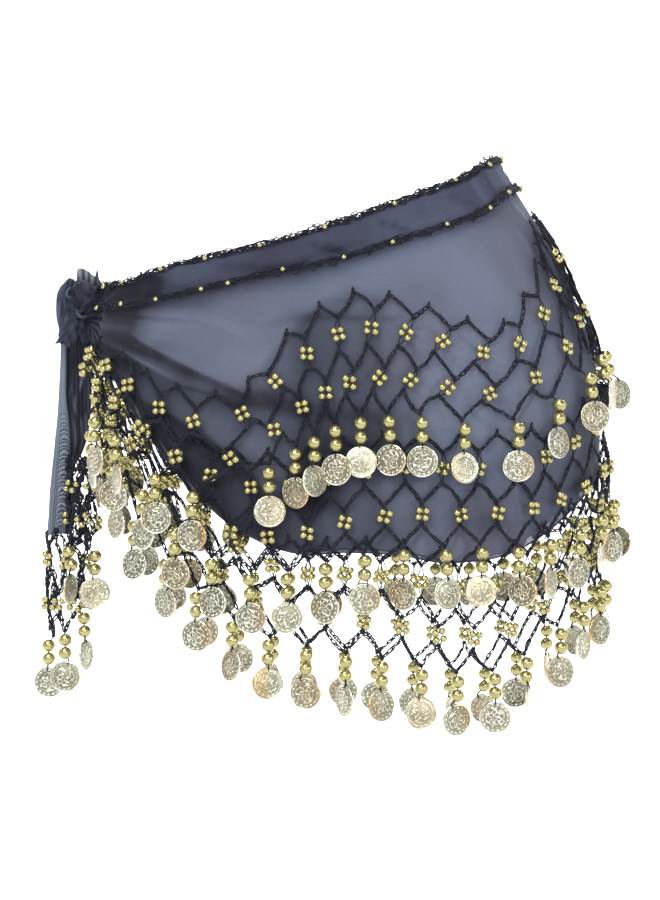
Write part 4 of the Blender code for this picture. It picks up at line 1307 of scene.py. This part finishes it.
def edging(name, node, place_line, out, beads, snags, up, sizes, finishes, seed):
    """Three chains of stitches along one sewing line, loose yarn, loose loops, and beads at angles."""
    work = Yarnwork(on_hips, sizes, seed)
    rng = work.rng
    start, end = PANEL_START + EDGING_INSET, GIRTH - PANEL_START - EDGING_INSET
    for shift, lift, side in EDGING_CHAINS:
        count = int((end - start) / (sizes.pitch / MM))
        along = start + (end - start) * (np.arange(count) + shift) / count
        spots = stacked(along, place_line(along) + side, out + lift)
        spots[:, 1] += rng.normal(0.0, 0.4, count)
        way = np.gradient(spots[:, :2], axis=0)
        heading = way / np.linalg.norm(way, axis=1, keepdims=True)
        stretch = np.linalg.norm(way, axis=1) / (sizes.pitch / MM)
        work.yarn.append(lay_stitches(on_hips, *work.link, (spots, heading, stretch), rng))
    fine = np.linspace(start, end, 900)
    slack = 1.0 + LOOSE_REACH * np.clip(np.sin(fine / 31.0 + 1.3), 0.0, 1.0) ** 2
    wander = up * slack * (0.4 + np.sin(2 * np.pi * fine / 11.0 + 2.2 * np.sin(fine / 23.0)))
    loose = on_hips(fine, place_line(fine) + wander, out + 1.0 + 0.5 * np.cos(fine / 2.9))
    work.yarn.append(sweep(loose[None], sizes.yarn * 0.8, 5))
    at = along_at(np.array(snags, float)) + rng.normal(0, 1.0, len(snags))
    work.picots(stacked(at, place_line(at), out + 0.6), up)
    back = np.arange(along_at(365.0), GIRTH - 24.0, BACK_BEAD_STEP)
    bead_along = np.concatenate([along_at(np.array(beads, float)), back])
    bead_along = bead_along + rng.normal(0, 0.8, len(bead_along))
    radius = sizes.edge_bead / MM / 2
    bead_height = place_line(bead_along) + rng.normal(0, 0.6, len(bead_along))
    bead_spots = stacked(bead_along, bead_height, out + 1.9 + radius)
    work.add_balls(work.small, bead_spots, radius, 12, 8)
    work.add(name, finishes, (node,))


def make_edging(sizes, colours):
    """Both edging chains of the waistband."""
    finishes = finishes_of(colours)
    edging("edging_top", "edge_cord_top", lambda along: line("rim", along) + 0.6, 0.4, TOP_BEADS, TOP_SNAGS,
           1.0, sizes, finishes, EDGING_SEEDS[0])
    edging("edging_lower", "edge_cord_lower", lambda along: line("band", along), BAND_CLOTH + 0.4,
           LOWER_BEADS, LOWER_SNAGS, -1.0, sizes, finishes, EDGING_SEEDS[1])


# ---- the three tiers ----
class Tier:
    """One tier: zigzag top chain, beaded links, middle chain, beaded links, bottom chain and its drops."""

    def __init__(self, tier, sizes):
        self.tier = tier
        self.work = work = Yarnwork(on_hips, sizes, TIER_SEED + tier)
        self.steps = steps = np.arange(HALF_STEPS + 1)
        self.peak = peak = (steps + (tier == 2)) % 2 == 0
        self.along = COLUMNS + work.rng.normal(0.0, 0.4, len(steps))
        self.top, self.middle, self.bottom = (self.spots(*rows) for rows in ((0, 1), (3, 2), (4, 5)))
        bare = 2 if tier == 1 else 0    # the top tier's net has no drop beside the knot
        hanging = np.flatnonzero(~peak & (steps > bare) & (steps < HALF_STEPS - bare))
        self.feet = self.bottom[hanging]
        near = bunched(self.feet[:, 0])
        turns = COIN_TURNS[(hanging // 2 + 5 * tier) % len(COIN_TURNS)]
        self.turns = np.where(near > 0, turns * 0.5, turns)
        self.upper_links = work.plan_links(self.top[~peak], self.middle[~peak], LINK_SHARES[0])
        self.lower_links = work.plan_links(self.middle[peak], self.bottom[peak], LINK_SHARES[1])
        self.drops = work.plan_drops(self.feet, self.floor, (3 - tier) * BUNCH_LAYER * near, self.turns)

    def spots(self, peak_row, valley_row):
        """Where a row of the net has its peaks and valleys, a little off its even places."""
        rng = self.work.rng
        loose = 0.55 + 0.9 * bunched(COLUMNS)
        along = self.along + rng.normal(0.0, 1.0, len(self.steps)) * loose
        if self.tier == 1:
            pull = np.interp(along, along_at(np.array(FOOT_PULL)[:, 0]), np.array(FOOT_PULL)[:, 1])
            along = along + pull * (peak_row / 4.0) ** 2
        top, foot = line(f"tier{self.tier}", along), line(f"foot{self.tier}", along)
        share = TIER_ROWS[np.where(self.peak, peak_row, valley_row)]
        height = top + (foot - top) * share + rng.normal(0.0, 0.8, len(self.steps)) * loose
        return stacked(along, height, net_out(self.tier, along, height))

    def floor(self, height):
        """How far out the tier's underside is at its feet, at a height."""
        return net_out(self.tier, self.feet[:, 0], height)

    def bodies(self):
        """Links and drops as (spots, radii) for settling."""
        small, large = self.work.small_radius, self.work.large_radius
        return [(self.upper_links, (small,) * 4), (self.lower_links, (small,) * 4),
                (self.drops, (large, large, 0.45 * self.work.coin_radius))]

    def add(self, shifts, finishes):
        """Moves the bodies by their shifts and adds the tier's pieces."""
        work, peak = self.work, self.peak
        upper, lower, drops = (spots + shift[:, None] for (spots, _), shift in zip(self.bodies(), shifts))
        for row, bow in ((self.top, -0.3), (self.middle, 0.6), (self.bottom, 0.6)):
            work.chains(row[:-1], row[1:], bow * np.where(peak[:-1], -1.0, 1.0))
            work.knots(row)
        work.picots(self.top[peak])
        work.add_links(self.top[~peak], self.middle[~peak], upper)
        work.add_links(self.middle[peak], self.bottom[peak], lower)
        work.add_drops(self.feet, drops, self.turns)
        if self.tier == 1:
            rows = [(along_at(row[0]), *row[1:]) for row in SIDE_CORDS]
            work.cords(rows, lambda along, height: net_out(1, along, height) + 0.8)
        sides = ("front", "back")
        work.add(f"tier{self.tier}", finishes, [f"net{self.tier}_{side}" for side in sides],
                 [f"drops{self.tier}_{side}" for side in sides])


def make_tiers(sizes, colours):
    """Plans the three tiers, settles their beads and coins against each other, and adds them."""
    tiers = [Tier(tier, sizes) for tier in TIERS]
    groups = [group for tier in tiers for group in tier.bodies()]
    shifts = settle(groups)
    for number, tier in enumerate(tiers):
        tier.add(shifts[3 * number:3 * number + 3], finishes_of(colours))


# ---- the knot and the tied end ----
def skin_left(height):
    """X of the cloth's outer face on the knot's side."""
    return form_at("centre", height) - form_at("half_width", height) - BAND_CLOTH


def gathered(phase, sharp=0.6):
    """Soft ridges with narrow troughs between: a power of |sin|, from 0 to 1."""
    return np.abs(np.sin(phase)) ** sharp


BALL_AROUND, BALL_DOWN = 90, 46
BALL_SHARE = (0.88, 1.0, 0.80)      # the knot's body over its solid's half sizes
BALL_SHIFT = (1.5, 0.0, -2.0)       # how far its middle is from the solid's


def knot_ball():
    """The knot's body: an ellipsoid with pleats that swirl round it, pressed on the cloth."""
    fall = np.linspace(0.03, np.pi - 0.03, BALL_DOWN)
    turn = full_turn(BALL_AROUND)
    fall_grid, turn_grid = np.meshgrid(fall, turn, indexing="ij")
    swirl = 3.5 * turn_grid + 2.6 * fall_grid + 0.5 * np.sin(3 * fall_grid)
    wide = np.sin(fall_grid) ** 0.8
    ripple = 0.86 + 0.11 * gathered(swirl) * wide + 0.05 * np.sin(2 * turn_grid + 1.2) * wide
    ripple += 0.03 * gathered(9 * turn_grid - 5 * fall_grid, 0.8) * wide
    wide_half, deep_half, high_half = (half * share for half, share in zip(KNOT_HALF, BALL_SHARE))
    x = KNOT[0] + BALL_SHIFT[0] + wide_half * ripple * wide * np.cos(turn_grid)
    y = KNOT[1] + BALL_SHIFT[1] + deep_half * ripple * wide * np.sin(turn_grid)
    height = KNOT[2] + BALL_SHIFT[2] + high_half * np.cos(fall_grid) * (1 + 0.03 * gathered(swirl))
    x = np.minimum(x, skin_left(height) + 1.0)
    # painted shade: lighter on the ridges of the swirling pleats, darker between them
    shade = 0.98 - 0.25 * gathered(swirl)
    points = stacked(x, y, height).reshape(-1, 3) * MM
    return points, tube_faces(BALL_DOWN, BALL_AROUND), shade.ravel()


# Rolls of cloth that make up the knot: the wide way lies between sideways (0) and front to back (90
# degrees); wide and thick are halves of the section; ends is how far it draws in there.
# Columns: wide, thick, turn of the wide way, pleats, ends, shade (painted shade; below 0, painted light),
# and the route that the roll follows.
ROLLS = (
    # the loop at the left
    (8.0, 4.6, 84, 5, 0.75, 0.60,
     ((-145.5, -7, -41.0), (-150.0, -8, -41.5), (-153.0, -9, -47.5), (-153.4, -9, -57), (-151.8, -9, -67),
      (-149.5, -7, -77))),
    # its crinkled outer edge, and the corner of cloth at its foot
    (1.6, 1.2, 60, 3, 0.45, -0.20,
     ((-154.2, -16.2, -49), (-155.8, -16.6, -56), (-155.6, -16.4, -63), (-154.2, -15.0, -70))),
    (4.6, 1.4, 78, 2, 0.30, 0.30,
     ((-150.0, -14.0, -69), (-153.6, -14.4, -73.6), (-158.4, -13.4, -77.8))),
    # the turn that covers the middle, and the one below it
    (8.2, 5.2, 12, 3, 0.78, 0.90,
     ((-137.2, -12, -39), (-138.4, -16, -43.5), (-139.6, -17, -49), (-141, -15, -55))),
    (5.2, 3.8, 30, 5, 0.55, 0.95,
     ((-131, -13, -41), (-133.5, -16.5, -47), (-138, -17.5, -54), (-144.0, -16, -59))),
    # the flat part that goes down into the long end
    (6.6, 3.6, 8, 5, 0.85, 0.62,
     ((-147.5, -12, -56), (-149, -13, -63), (-149.6, -12.5, -71), (-149.6, -10.5, -80))),
    (4.6, 3.0, 8, 4, 0.80, 0.95,
     ((-139.5, -11, -58), (-140.0, -12, -65), (-139.6, -11.5, -72), (-139, -10, -80))),
    # lips where the turns fold over
    (1.0, 0.8, 20, 2, 0.30, -0.05,
     ((-147.4, -16.4, -40.5), (-150.0, -16.6, -43.0), (-150.6, -17.2, -46.4), (-147.6, -17.6, -48.4))),
    (2.2, 1.3, 20, 2, 0.45, 0.74,
     ((-147.4, -16.2, -48.5), (-147.2, -17.0, -53.0), (-145.4, -17.4, -56.6), (-142.6, -17.4, -58.6))),
    (1.1, 0.8, 20, 2, 0.30, 0.0,
     ((-143.9, -16.8, -53.5), (-143.6, -18.4, -57.4), (-141.2, -19.0, -60.4), (-137.0, -18.2, -59.4))),
    # the gathers that come in from the hip
    (6.4, 3.6, 70, 6, 0.60, 1.00,
     ((-139, -8, -57), (-134, -13, -55.5), (-128, -19, -54.5), (-121, -29, -55))),
    (6.4, 3.6, 70, 6, 0.60, 1.00,
     ((-139, 8, -57), (-134, 13, -55.5), (-128, 19, -54.5), (-121, 29, -55))),
    # the same turns at the back
    (8.0, 4.6, 96, 5, 0.75, 0.70,
     ((-145.5, 5, -41), (-149.5, 6, -42), (-152, 7, -49), (-152.5, 7, -60), (-149.5, 6, -72))),
    (8.4, 5.4, -12, 4, 0.70, 0.88,
     ((-137.5, 10, -38), (-139, 14, -45), (-141.5, 14.5, -54), (-144, 12, -65))),
)
ROLL_RINGS, ROLL_AROUND = 38, 30


def cloth_roll(wide, thick, turn_way, pleats, ends, shade, route):
    """A soft roll of cloth: an ellipse with pleats, carried along a smooth route, drawn in at its ends."""
    route = np.asarray(route, float)
    parts = np.linspace(0.0, 1.0, len(route))
    t = np.linspace(0.0, 1.0, ROLL_RINGS)
    core = np.stack([smooth_rows(t, parts, route[:, k]) for k in range(3)], axis=-1)
    forward = np.gradient(core, axis=0)
    forward /= np.linalg.norm(forward, axis=1, keepdims=True)
    lean = math.radians(turn_way)
    first = np.cross(forward, [math.sin(lean), -math.cos(lean), 0.0])
    first /= np.linalg.norm(first, axis=1, keepdims=True)
    second = np.cross(forward, first)
    turn = full_turn(ROLL_AROUND)[None, :]
    round_end = np.sqrt(np.clip(1 - np.abs(2 * t - 1) ** 6, 0.0, 1.0))
    swell = (round_end * (ends + (1 - ends) * np.sin(np.pi * t)) + 0.02)[:, None]
    t = t[:, None]
    pleat = gathered(pleats * turn / 2 + 1.4 * t + 0.4 * np.sin(9 * t))
    crinkle = gathered(9 * t + 1.6 * np.sin(2 * turn + wide), 0.8) * gathered(2.5 * turn + 5 * t)
    fine = np.sin(37 * t + 3 * np.sin(2 * turn)) * np.cos(3 * turn)
    ripple = 0.86 + 0.11 * pleat + 0.12 * crinkle + 0.02 * fine
    across = (wide * swell * ripple * np.cos(turn))[..., None] * first[:, None]
    deep = (thick * swell * ripple * np.sin(turn))[..., None] * second[:, None]
    points = (core[:, None] + across + deep).reshape(-1, 3) * MM
    # painted light on the ridges of the pleats and the crinkles, painted shade in the troughs, over the
    # roll's own shade
    shades = 0.32 + 0.68 * shade + 0.22 * (1 - 1.4 * pleat) - 0.24 * (crinkle - 0.4)
    return points, tube_faces(ROLL_RINGS, ROLL_AROUND), shades.ravel()


def make_knot(colours):
    """The knot: its pleated body and the turns, lips and gathers of cloth that lie over it."""
    finishes = finishes_of(colours)
    parts = [knot_ball()] + [cloth_roll(*row) for row in ROLLS]
    points, faces = joined([part[:2] for part in parts])
    uv = points[:, [0, 2]] + points[:, [1, 1]] * 0.6
    # how dark each part is: its layers, and painted shade and light
    layers_and_painted_shade = np.clip(np.concatenate([part[2] for part in parts]), 0.0, 1.0)
    knot = add_piece("knot_cloth", points, faces, finishes["doubled"], "chiffon_doubled", uv,
                     {"layers_and_painted_shade": layers_and_painted_shade})
    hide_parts("knot")


# The short end's top edge from left to right, and how far each place of it stands forward.
EAR_COLUMNS = ("x", "top", "forward")
EAR = (
    (-145.0, -36.0, 1.0),
    (-144.2, -29.4, 3.0),
    (-142.6, -28.4, 5.5),
    (-140.6, -28.6, 2.0),
    (-138.6, -29.6, 6.0),
    (-136.6, -31.0, 2.0),
    (-134.6, -32.6, 5.5),
    (-132.8, -33.4, 2.5),
    (-131.6, -29.4, 1.5),
    (-130.8, -34.5, 3.0),
    (-129.4, -37.4, 1.0),
    (-127.8, -40.2, 2.0),
)
EAR_FOOT = -43.0
EAR_MIDDLE = -137.0     # X that it draws in towards at its foot
EAR_ROWS, EAR_POINTS = 26, 110
EAR_FLAT = (34, 14)     # its flat size, millimetres


def make_ear(sizes, colours):
    """The short end: petals that fan up out of the knot, a smooth curve through a table, thickened."""
    finishes = finishes_of(colours)
    rows = np.linspace(0.0, 1.0, len(EAR))
    part, up = np.meshgrid(np.linspace(0.0, 1.0, EAR_POINTS), np.linspace(0.0, 1.0, EAR_ROWS))
    x, top, forward = (smooth_rows(part, rows, column(EAR, EAR_COLUMNS, name)) for name in EAR_COLUMNS)
    height = EAR_FOOT + (top - EAR_FOOT) * up
    x = EAR_MIDDLE + (x - EAR_MIDDLE) * (0.72 + 0.28 * up)
    y = -4.0 - forward * (0.4 + 0.6 * up) + 3.0 * up**2 - 4.0 * (1 - up)
    points = stacked(x, y, height) * MM
    uv = stacked(part * EAR_FLAT[0], height) * MM
    # painted light where it stands forward at the top, painted shade towards its foot in the knot
    layers_and_painted_shade = np.clip(0.96 - 0.15 * forward * up + 0.30 * (1 - up), 0.0, 1.0)
    ear = add_piece("knot_short_end", points, [grid_faces(EAR_ROWS, EAR_POINTS)], finishes["tail"],
                    "chiffon_doubled", uv, {"layers_and_painted_shade": layers_and_painted_shade}, 2.0 * sizes.chiffon)
    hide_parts("knot_ear")


# The long end: its left edge, the dark seam between its two parts, and its right edge.
TAIL_COLUMNS = ("height", "left", "seam", "right")
TAIL = (
    (-204, -164.0, -151.0, -149.0),
    (-191, -162.9, -150.3, -147.5),
    (-170, -161.6, -148.4, -146.6),
    (-156, -160.2, -148.0, -145.6),
    (-149, -159.4, -147.9, -141.6),
    (-142, -158.8, -147.9, -138.8),
    (-127, -157.2, -149.2, -136.0),
    (-112, -156.2, -151.1, -135.0),
    (-96, -155.4, -151.1, -134.6),
    (-72, -154.4, -151.0, -136.5),
)
# Painted highlights, pale streaks on the pleats of its dark part: place across, half width, from and to
# height, how much darker.
TAIL_HIGHLIGHTS = ((0.55, 0.05, -110.0, -88.0, -0.50), (0.42, 0.05, -126.0, -108.0, -0.40),
               (0.60, 0.06, -156.0, -122.0, -0.34), (0.18, 0.08, -150.0, -100.0, -0.16),
               (0.85, 0.06, -140.0, -120.0, -0.30))
TAIL_TOP = -72.0
TAIL_FOOT = -202.5      # height of its hem at the left
TAIL_FLAT = (46, 131)   # its flat size, millimetres
TAIL_ROWS, TAIL_POINTS = 204, 86
TAIL_SEAM, TAIL_REST = 0.58, 0.42   # shares of the width left and right of the seam
TAIL_STREAKS = 15       # fine pleats over the width
BRAID_PITCH = 2.6       # height of one crinkle of the braid, millimetres
BRAID_TOP, BRAID_FOOT = -114.0, -199.0


def tail_size(name, height):
    """A named size of the long end at a height."""
    return from_table(TAIL, TAIL_COLUMNS, name, height)


def make_tail(sizes, colours):
    """The long end: a strip that stands forward left of its seam, with a braid of crinkles, and a dark
    pleated part behind the seam. Its hem rises from left to right."""
    finishes = finishes_of(colours)
    part, down = np.meshgrid(np.linspace(0.0, 1.0, TAIL_POINTS), np.linspace(0.0, 1.0, TAIL_ROWS))
    hem = TAIL_FOOT + 4.5 * part + 1.2 * np.sin(7 * part)
    height = TAIL_TOP + (hem - TAIL_TOP) * down
    left, seam, right = (tail_size(name, height) for name in TAIL_COLUMNS[1:])
    strip = np.clip(part / TAIL_SEAM, 0.0, 1.0)
    rest = np.clip((part - TAIL_SEAM) / TAIL_REST, 0.0, 1.0)
    streak = np.sin(2 * np.pi * TAIL_STREAKS * part + 0.03 * height)
    x = left + (seam - left) * strip + (right - seam) * rest
    y = -9.5 - 3.6 * np.sin(np.pi * strip) ** 0.7 * (part <= TAIL_SEAM)
    y = y + 2.6 * hump(part, TAIL_SEAM, 0.035) - 1.6 * np.sin(2 * np.pi * rest) * (part > TAIL_SEAM)
    y = y + 0.32 * streak - 2.0 * rest
    lower = np.clip((BRAID_TOP - height) / 80.0, 0.0, 1.0)
    off_braid = np.abs(strip - 0.55 - 0.12 * lower) / (0.32 - 0.08 * lower)
    braid = soft_step((1.0 - off_braid) / 0.30) * (part <= 0.60)
    braid = braid * soft_step((BRAID_TOP - height) / 20.0) * soft_step((height - BRAID_FOOT) / 8.0)
    bowed = height + 2.0 * off_braid**2 + 0.5 * np.sin(0.53 * height) + 0.3 * np.sin(1.3 * height)
    wave = 0.5 + 0.5 * np.sin(2 * np.pi * bowed / BRAID_PITCH)
    y = y - 1.5 * braid * wave
    points = stacked(x, y, height) * MM
    uv = stacked(part * TAIL_FLAT[0], height) * MM
    on_strip = soft_step((0.60 - part) / 0.03)
    # how dark it is: painted shade along the pleats, and darker in bands lower down, beside and behind the
    # seam and at the top under the knot
    layers_and_painted_shade = 0.25 + (0.06 + 0.09 * on_strip) * streak + 0.20 * soft_step((-108.0 - height) / 50.0) * on_strip
    layers_and_painted_shade = layers_and_painted_shade + 0.22 * hump(strip, 0.30, 0.10) * on_strip
    layers_and_painted_shade = layers_and_painted_shade + 0.30 * soft_step((strip - 0.80) / 0.2) * on_strip
    layers_and_painted_shade = layers_and_painted_shade + 0.74 * (1 - on_strip) + 0.75 * hump(part, 0.59, 0.03)
    # painted highlights on the pleats of the dark part
    for across, half, low, high, tone in TAIL_HIGHLIGHTS:
        lit = hump(rest - across - 0.10 * np.sin(0.12 * height), 0.0, half) * (1 - on_strip)
        layers_and_painted_shade = layers_and_painted_shade + tone * lit * soft_step((height - low) / 8.0) * soft_step((high - height) / 8.0)
    # painted highlight on the braid's crests and painted shade in its troughs; darker at the strip's left
    # edge
    layers_and_painted_shade = layers_and_painted_shade + braid * (0.62 - 1.15 * wave) + 0.25 * hump(strip, 0.0, 0.05) * on_strip
    layers_and_painted_shade = layers_and_painted_shade + 0.35 * soft_step((height + 98.0) / 20.0)
    tail = add_piece("tail_chiffon", points, [grid_faces(TAIL_ROWS, TAIL_POINTS)[:, ::-1]], finishes["tail"],
                     "chiffon", uv, {"layers_and_painted_shade": np.clip(layers_and_painted_shade, 0.0, 1.0)}, 1.5 * sizes.chiffon)
    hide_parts("tail_cloth")


def make_tail_net(row, sizes, colours, seed):
    """One net of the long end, rolled round to the front: an arc of a cylinder unrolled as girth."""
    finishes = finishes_of(colours)
    name, centre, front, radius, top, foot, columns, drops_over, shifts, turns, cords = row

    def place(along, height, out):
        """Place in metres on the net's cylinder."""
        along, height, out = np.broadcast_arrays(*np.atleast_1d(along, height, out))
        turn = along / radius
        x = centre + (radius + out) * np.sin(turn)
        y = front + radius - (radius + out) * np.cos(turn)
        return stacked(x, y, height) * MM

    work = Yarnwork(place, sizes, seed)
    half_girth = radius * math.radians(TAIL_NET_SPREAD)
    steps = np.arange(2 * columns + 1)
    peak = steps % 2 == 0
    along = np.linspace(-half_girth, half_girth, len(steps))

    def spots(row_numbers):
        """Where one row of the net has its peaks and valleys."""
        height = top + (foot - top) * TIER_ROWS[row_numbers] + work.rng.normal(0, 2.2, len(steps))
        aside = along + work.rng.normal(0, 1.6, len(steps))
        return stacked(aside, height, 0.0)

    rows = [spots(np.where(peak, a, b)) for a, b in ((0, 1), (3, 2), (4, 5))]
    rows[2][~peak, :2] += shifts
    work.cords(cords, lambda along, height: 0.8 + 0.0 * along, 7)
    for spots_row in rows:
        work.chains(spots_row[:-1], spots_row[1:], 0.4)
        work.knots(spots_row)
    work.picots(rows[0][peak])
    feet, turns = rows[2][~peak], np.array(turns, float)
    pairs = ((rows[0][~peak], rows[1][~peak], LINK_SHARES[0]),
             (rows[1][peak], rows[2][peak], LINK_SHARES[1]))
    bodies = [(work.plan_links(*pair), (work.small_radius,) * 4) for pair in pairs]
    drops = work.plan_drops(feet, lambda height: np.full(len(feet), drops_over), 0.0, turns)
    bodies.append((drops, (work.large_radius, work.large_radius, 0.45 * work.coin_radius)))
    moved = [spots + shift[:, None] for (spots, _), shift in zip(bodies, settle(bodies))]
    for (upper, lower, _), beads in zip(pairs, moved):
        work.add_links(upper, lower, beads)
    work.add_drops(feet, moved[2], turns)
    work.add(f"tail_{name}", finishes, (f"tail_net_{name}",), (f"tail_drops_{name}",))


# ---- stage ----
CAMERA_DISTANCE = 3.0   # from the camera to the plane through the origin
PICTURE_HEIGHT = 0.585  # height of that plane that the picture takes in
CAMERA_X, CAMERA_Z = 0.0195, -0.14625
SENSOR = 36.0
FLOOR_BELOW = 0.20      # the floor lies this far below the lowest coin
FLOOR_REACH, FLOOR_BEND, WALL_HEIGHT, FLOOR_AROUND = 5.5, 1.2, 4.5, 64
# Columns: name, place, aim, size, power in watts, colour.
LIGHTS = (
    ("key", (-1.1, -2.7, 1.5), (0.0, 0.0, -0.12), 0.5, 46.0, (1.0, 0.99, 0.975)),
    ("front", (0.9, -3.4, 0.6), (0.03, 0.0, -0.14), 0.8, 28.0, (1.0, 1.0, 1.0)),
    ("fill", (2.1, -1.2, 0.3), (0.05, 0.0, -0.15), 0.7, 10.0, (0.95, 0.97, 1.0)),
    ("sky", (-0.4, -1.3, 2.0), (0.0, 0.0, -0.1), 2.2, 34.0, (1.0, 1.0, 1.0)),
    ("top", (0.1, 0.5, 1.9), (0.02, 0.0, -0.1), 0.8, 8.0, (1.0, 1.0, 1.0)),
    ("back", (-0.8, 2.3, 0.9), (0.0, 0.0, -0.1), 0.8, 26.0, (1.0, 1.0, 1.0)),
    ("wall left", (-2.6, 2.2, 2.6), (-0.7, 6.7, -0.1), 1.2, 290.0, (1.0, 1.0, 1.0)),
    ("wall right", (2.6, 2.2, 2.6), (0.7, 6.7, -0.1), 1.2, 290.0, (1.0, 1.0, 1.0)),
    ("ground", (0.0, 2.4, 3.0), (0.0, 3.4, -0.5), 1.0, 140.0, (1.0, 1.0, 1.0)),
)
SURROUND = (0.96, 0.98, 1.0)
SURROUND_STRENGTH = 0.22


def add_camera():
    """A level camera straight in front, with the lens that takes in the picture's height."""
    data = bpy.data.cameras.new("camera")
    data.sensor_width = SENSOR
    data.lens = SENSOR * CAMERA_DISTANCE / PICTURE_HEIGHT
    camera = bpy.data.objects.new("camera", data)
    camera.location = (CAMERA_X, -CAMERA_DISTANCE, CAMERA_Z)
    camera.rotation_euler = (math.radians(90.0), 0.0, 0.0)
    bpy.context.scene.collection.objects.link(camera)
    bpy.context.scene.camera = camera


def add_floor():
    """A pale round floor that curves up into a wall: a flat disc, a quarter circle, straight up."""
    low = CAD_BOX[0].z - FLOOR_BELOW
    bend = np.linspace(0.0, np.pi / 2, 13)
    curve = FLOOR_REACH + FLOOR_BEND * np.sin(bend)
    reach = np.concatenate([[0.5, 2.0], curve, [FLOOR_REACH + FLOOR_BEND]])
    rise = np.concatenate([[0.0, 0.0], FLOOR_BEND * (1 - np.cos(bend)), [WALL_HEIGHT]])
    turn = full_turn(FLOOR_AROUND)
    reach, rise = reach[:, None], rise[:, None]
    points = stacked(reach * np.cos(turn), reach * np.sin(turn), low + rise).reshape(-1, 3)
    finish = Finish("pale_floor", Roughness=0.9)
    place = finish.node("ShaderNodeTexCoord").outputs["Object"]
    finish.set("Base Color", finish.blend(finish.noise(place, 3.0), (0.83, 0.83, 0.83), (0.86, 0.86, 0.86)))
    mesh = bpy.data.meshes.new("floor")
    faces = grid_faces(len(reach), FLOOR_AROUND, closed=True)[:, ::-1].tolist()
    mesh.from_pydata(points.tolist(), [], faces + [list(range(FLOOR_AROUND))])
    mesh.shade_smooth()
    mesh.materials.append(finish.material)
    floor = bpy.data.objects.new("floor", mesh)
    bpy.context.scene.collection.objects.link(floor)


def add_lights():
    """Soft area lights that each aim at a point, and an even pale surround."""
    for name, place, aim, size, power, colour in LIGHTS:
        data = bpy.data.lights.new(name, "AREA")
        data.shape, data.size, data.energy, data.color = "DISK", size, power, colour
        light = bpy.data.objects.new(name, data)
        light.location = place
        light.visible_camera = False
        light.rotation_euler = (Vector(aim) - Vector(place)).to_track_quat("-Z", "Y").to_euler()
        bpy.context.scene.collection.objects.link(light)
    world = bpy.data.worlds.new("studio")
    world.use_nodes = True
    background = world.node_tree.nodes["Background"]
    background.inputs["Color"].default_value = (*SURROUND, 1.0)
    background.inputs["Strength"].default_value = SURROUND_STRENGTH
    bpy.context.scene.world = world


# ---- operators ----
class SCARF_OT_stage(bpy.types.Operator):
    """Add the camera, the pale floor and the soft lights"""
    bl_idname, bl_label = "scarf.stage", "Stage"

    def execute(self, context):
        context.scene.view_settings.view_transform = "Standard"
        add_camera()
        add_floor()
        add_lights()
        return {"FINISHED"}


class SCARF_OT_chiffon(bpy.types.Operator):
    """Add the chiffon panel with its rolled hem"""
    bl_idname, bl_label = "scarf.chiffon", "Chiffon panel"

    def execute(self, context):
        make_chiffon(context.scene.scarf_colours)
        return {"FINISHED"}


class SCARF_OT_waistband(bpy.types.Operator):
    """Add the doubled waistband"""
    bl_idname, bl_label = "scarf.waistband", "Waistband"

    def execute(self, context):
        make_waistband(context.scene.scarf_colours)
        return {"FINISHED"}


class SCARF_OT_edging(bpy.types.Operator):
    """Add the crochet edging of the waistband with its beads"""
    bl_idname, bl_label = "scarf.edging", "Edging"

    def execute(self, context):
        make_edging(context.scene.scarf_sizes, context.scene.scarf_colours)
        return {"FINISHED"}


class SCARF_OT_tiers(bpy.types.Operator):
    """Add the three tiers of net with their bead and coin drops"""
    bl_idname, bl_label = "scarf.tiers", "Tiers of net"

    def execute(self, context):
        make_tiers(context.scene.scarf_sizes, context.scene.scarf_colours)
        return {"FINISHED"}


class SCARF_OT_knot(bpy.types.Operator):
    """Add the knot and its short end"""
    bl_idname, bl_label = "scarf.knot", "Knot"

    def execute(self, context):
        make_knot(context.scene.scarf_colours)
        make_ear(context.scene.scarf_sizes, context.scene.scarf_colours)
        return {"FINISHED"}


class SCARF_OT_tail(bpy.types.Operator):
    """Add the long tied end with its two nets"""
    bl_idname, bl_label = "scarf.tail", "Tied end"

    def execute(self, context):
        sizes, colours = context.scene.scarf_sizes, context.scene.scarf_colours
        make_tail(sizes, colours)
        for number, row in enumerate(TAIL_NETS):
            make_tail_net(row, sizes, colours, TAIL_NET_SEED + number)
        return {"FINISHED"}


OPERATORS = (SCARF_OT_stage, SCARF_OT_chiffon, SCARF_OT_waistband, SCARF_OT_edging, SCARF_OT_tiers,
             SCARF_OT_knot, SCARF_OT_tail)


class SCARF_PT_panel(bpy.types.Panel):
    """Sizes, colours and pieces of the scarf"""
    bl_idname, bl_label = "SCARF_PT_panel", "Hip scarf"
    bl_space_type, bl_region_type, bl_category = "VIEW_3D", "UI", "Scarf"

    def draw(self, context):
        for group in (context.scene.scarf_sizes, context.scene.scarf_colours):
            for name in group.__annotations__:
                self.layout.prop(group, name)
        for operator in OPERATORS:
            self.layout.operator(operator.bl_idname)


CLASSES = (ScarfSizes, ScarfColours, *OPERATORS, SCARF_PT_panel)


def register():
    for kind in CLASSES:
        bpy.utils.register_class(kind)
    bpy.types.Scene.scarf_sizes = PointerProperty(type=ScarfSizes)
    bpy.types.Scene.scarf_colours = PointerProperty(type=ScarfColours)


def unregister():
    del bpy.types.Scene.scarf_colours
    del bpy.types.Scene.scarf_sizes
    for kind in reversed(CLASSES):
        bpy.utils.unregister_class(kind)


def main():
    register()
    bpy.ops.scarf.stage()
    bpy.ops.scarf.chiffon()
    bpy.ops.scarf.waistband()
    bpy.ops.scarf.edging()
    bpy.ops.scarf.tiers()
    bpy.ops.scarf.knot()
    bpy.ops.scarf.tail()


if __name__ == "__main__":
    main()
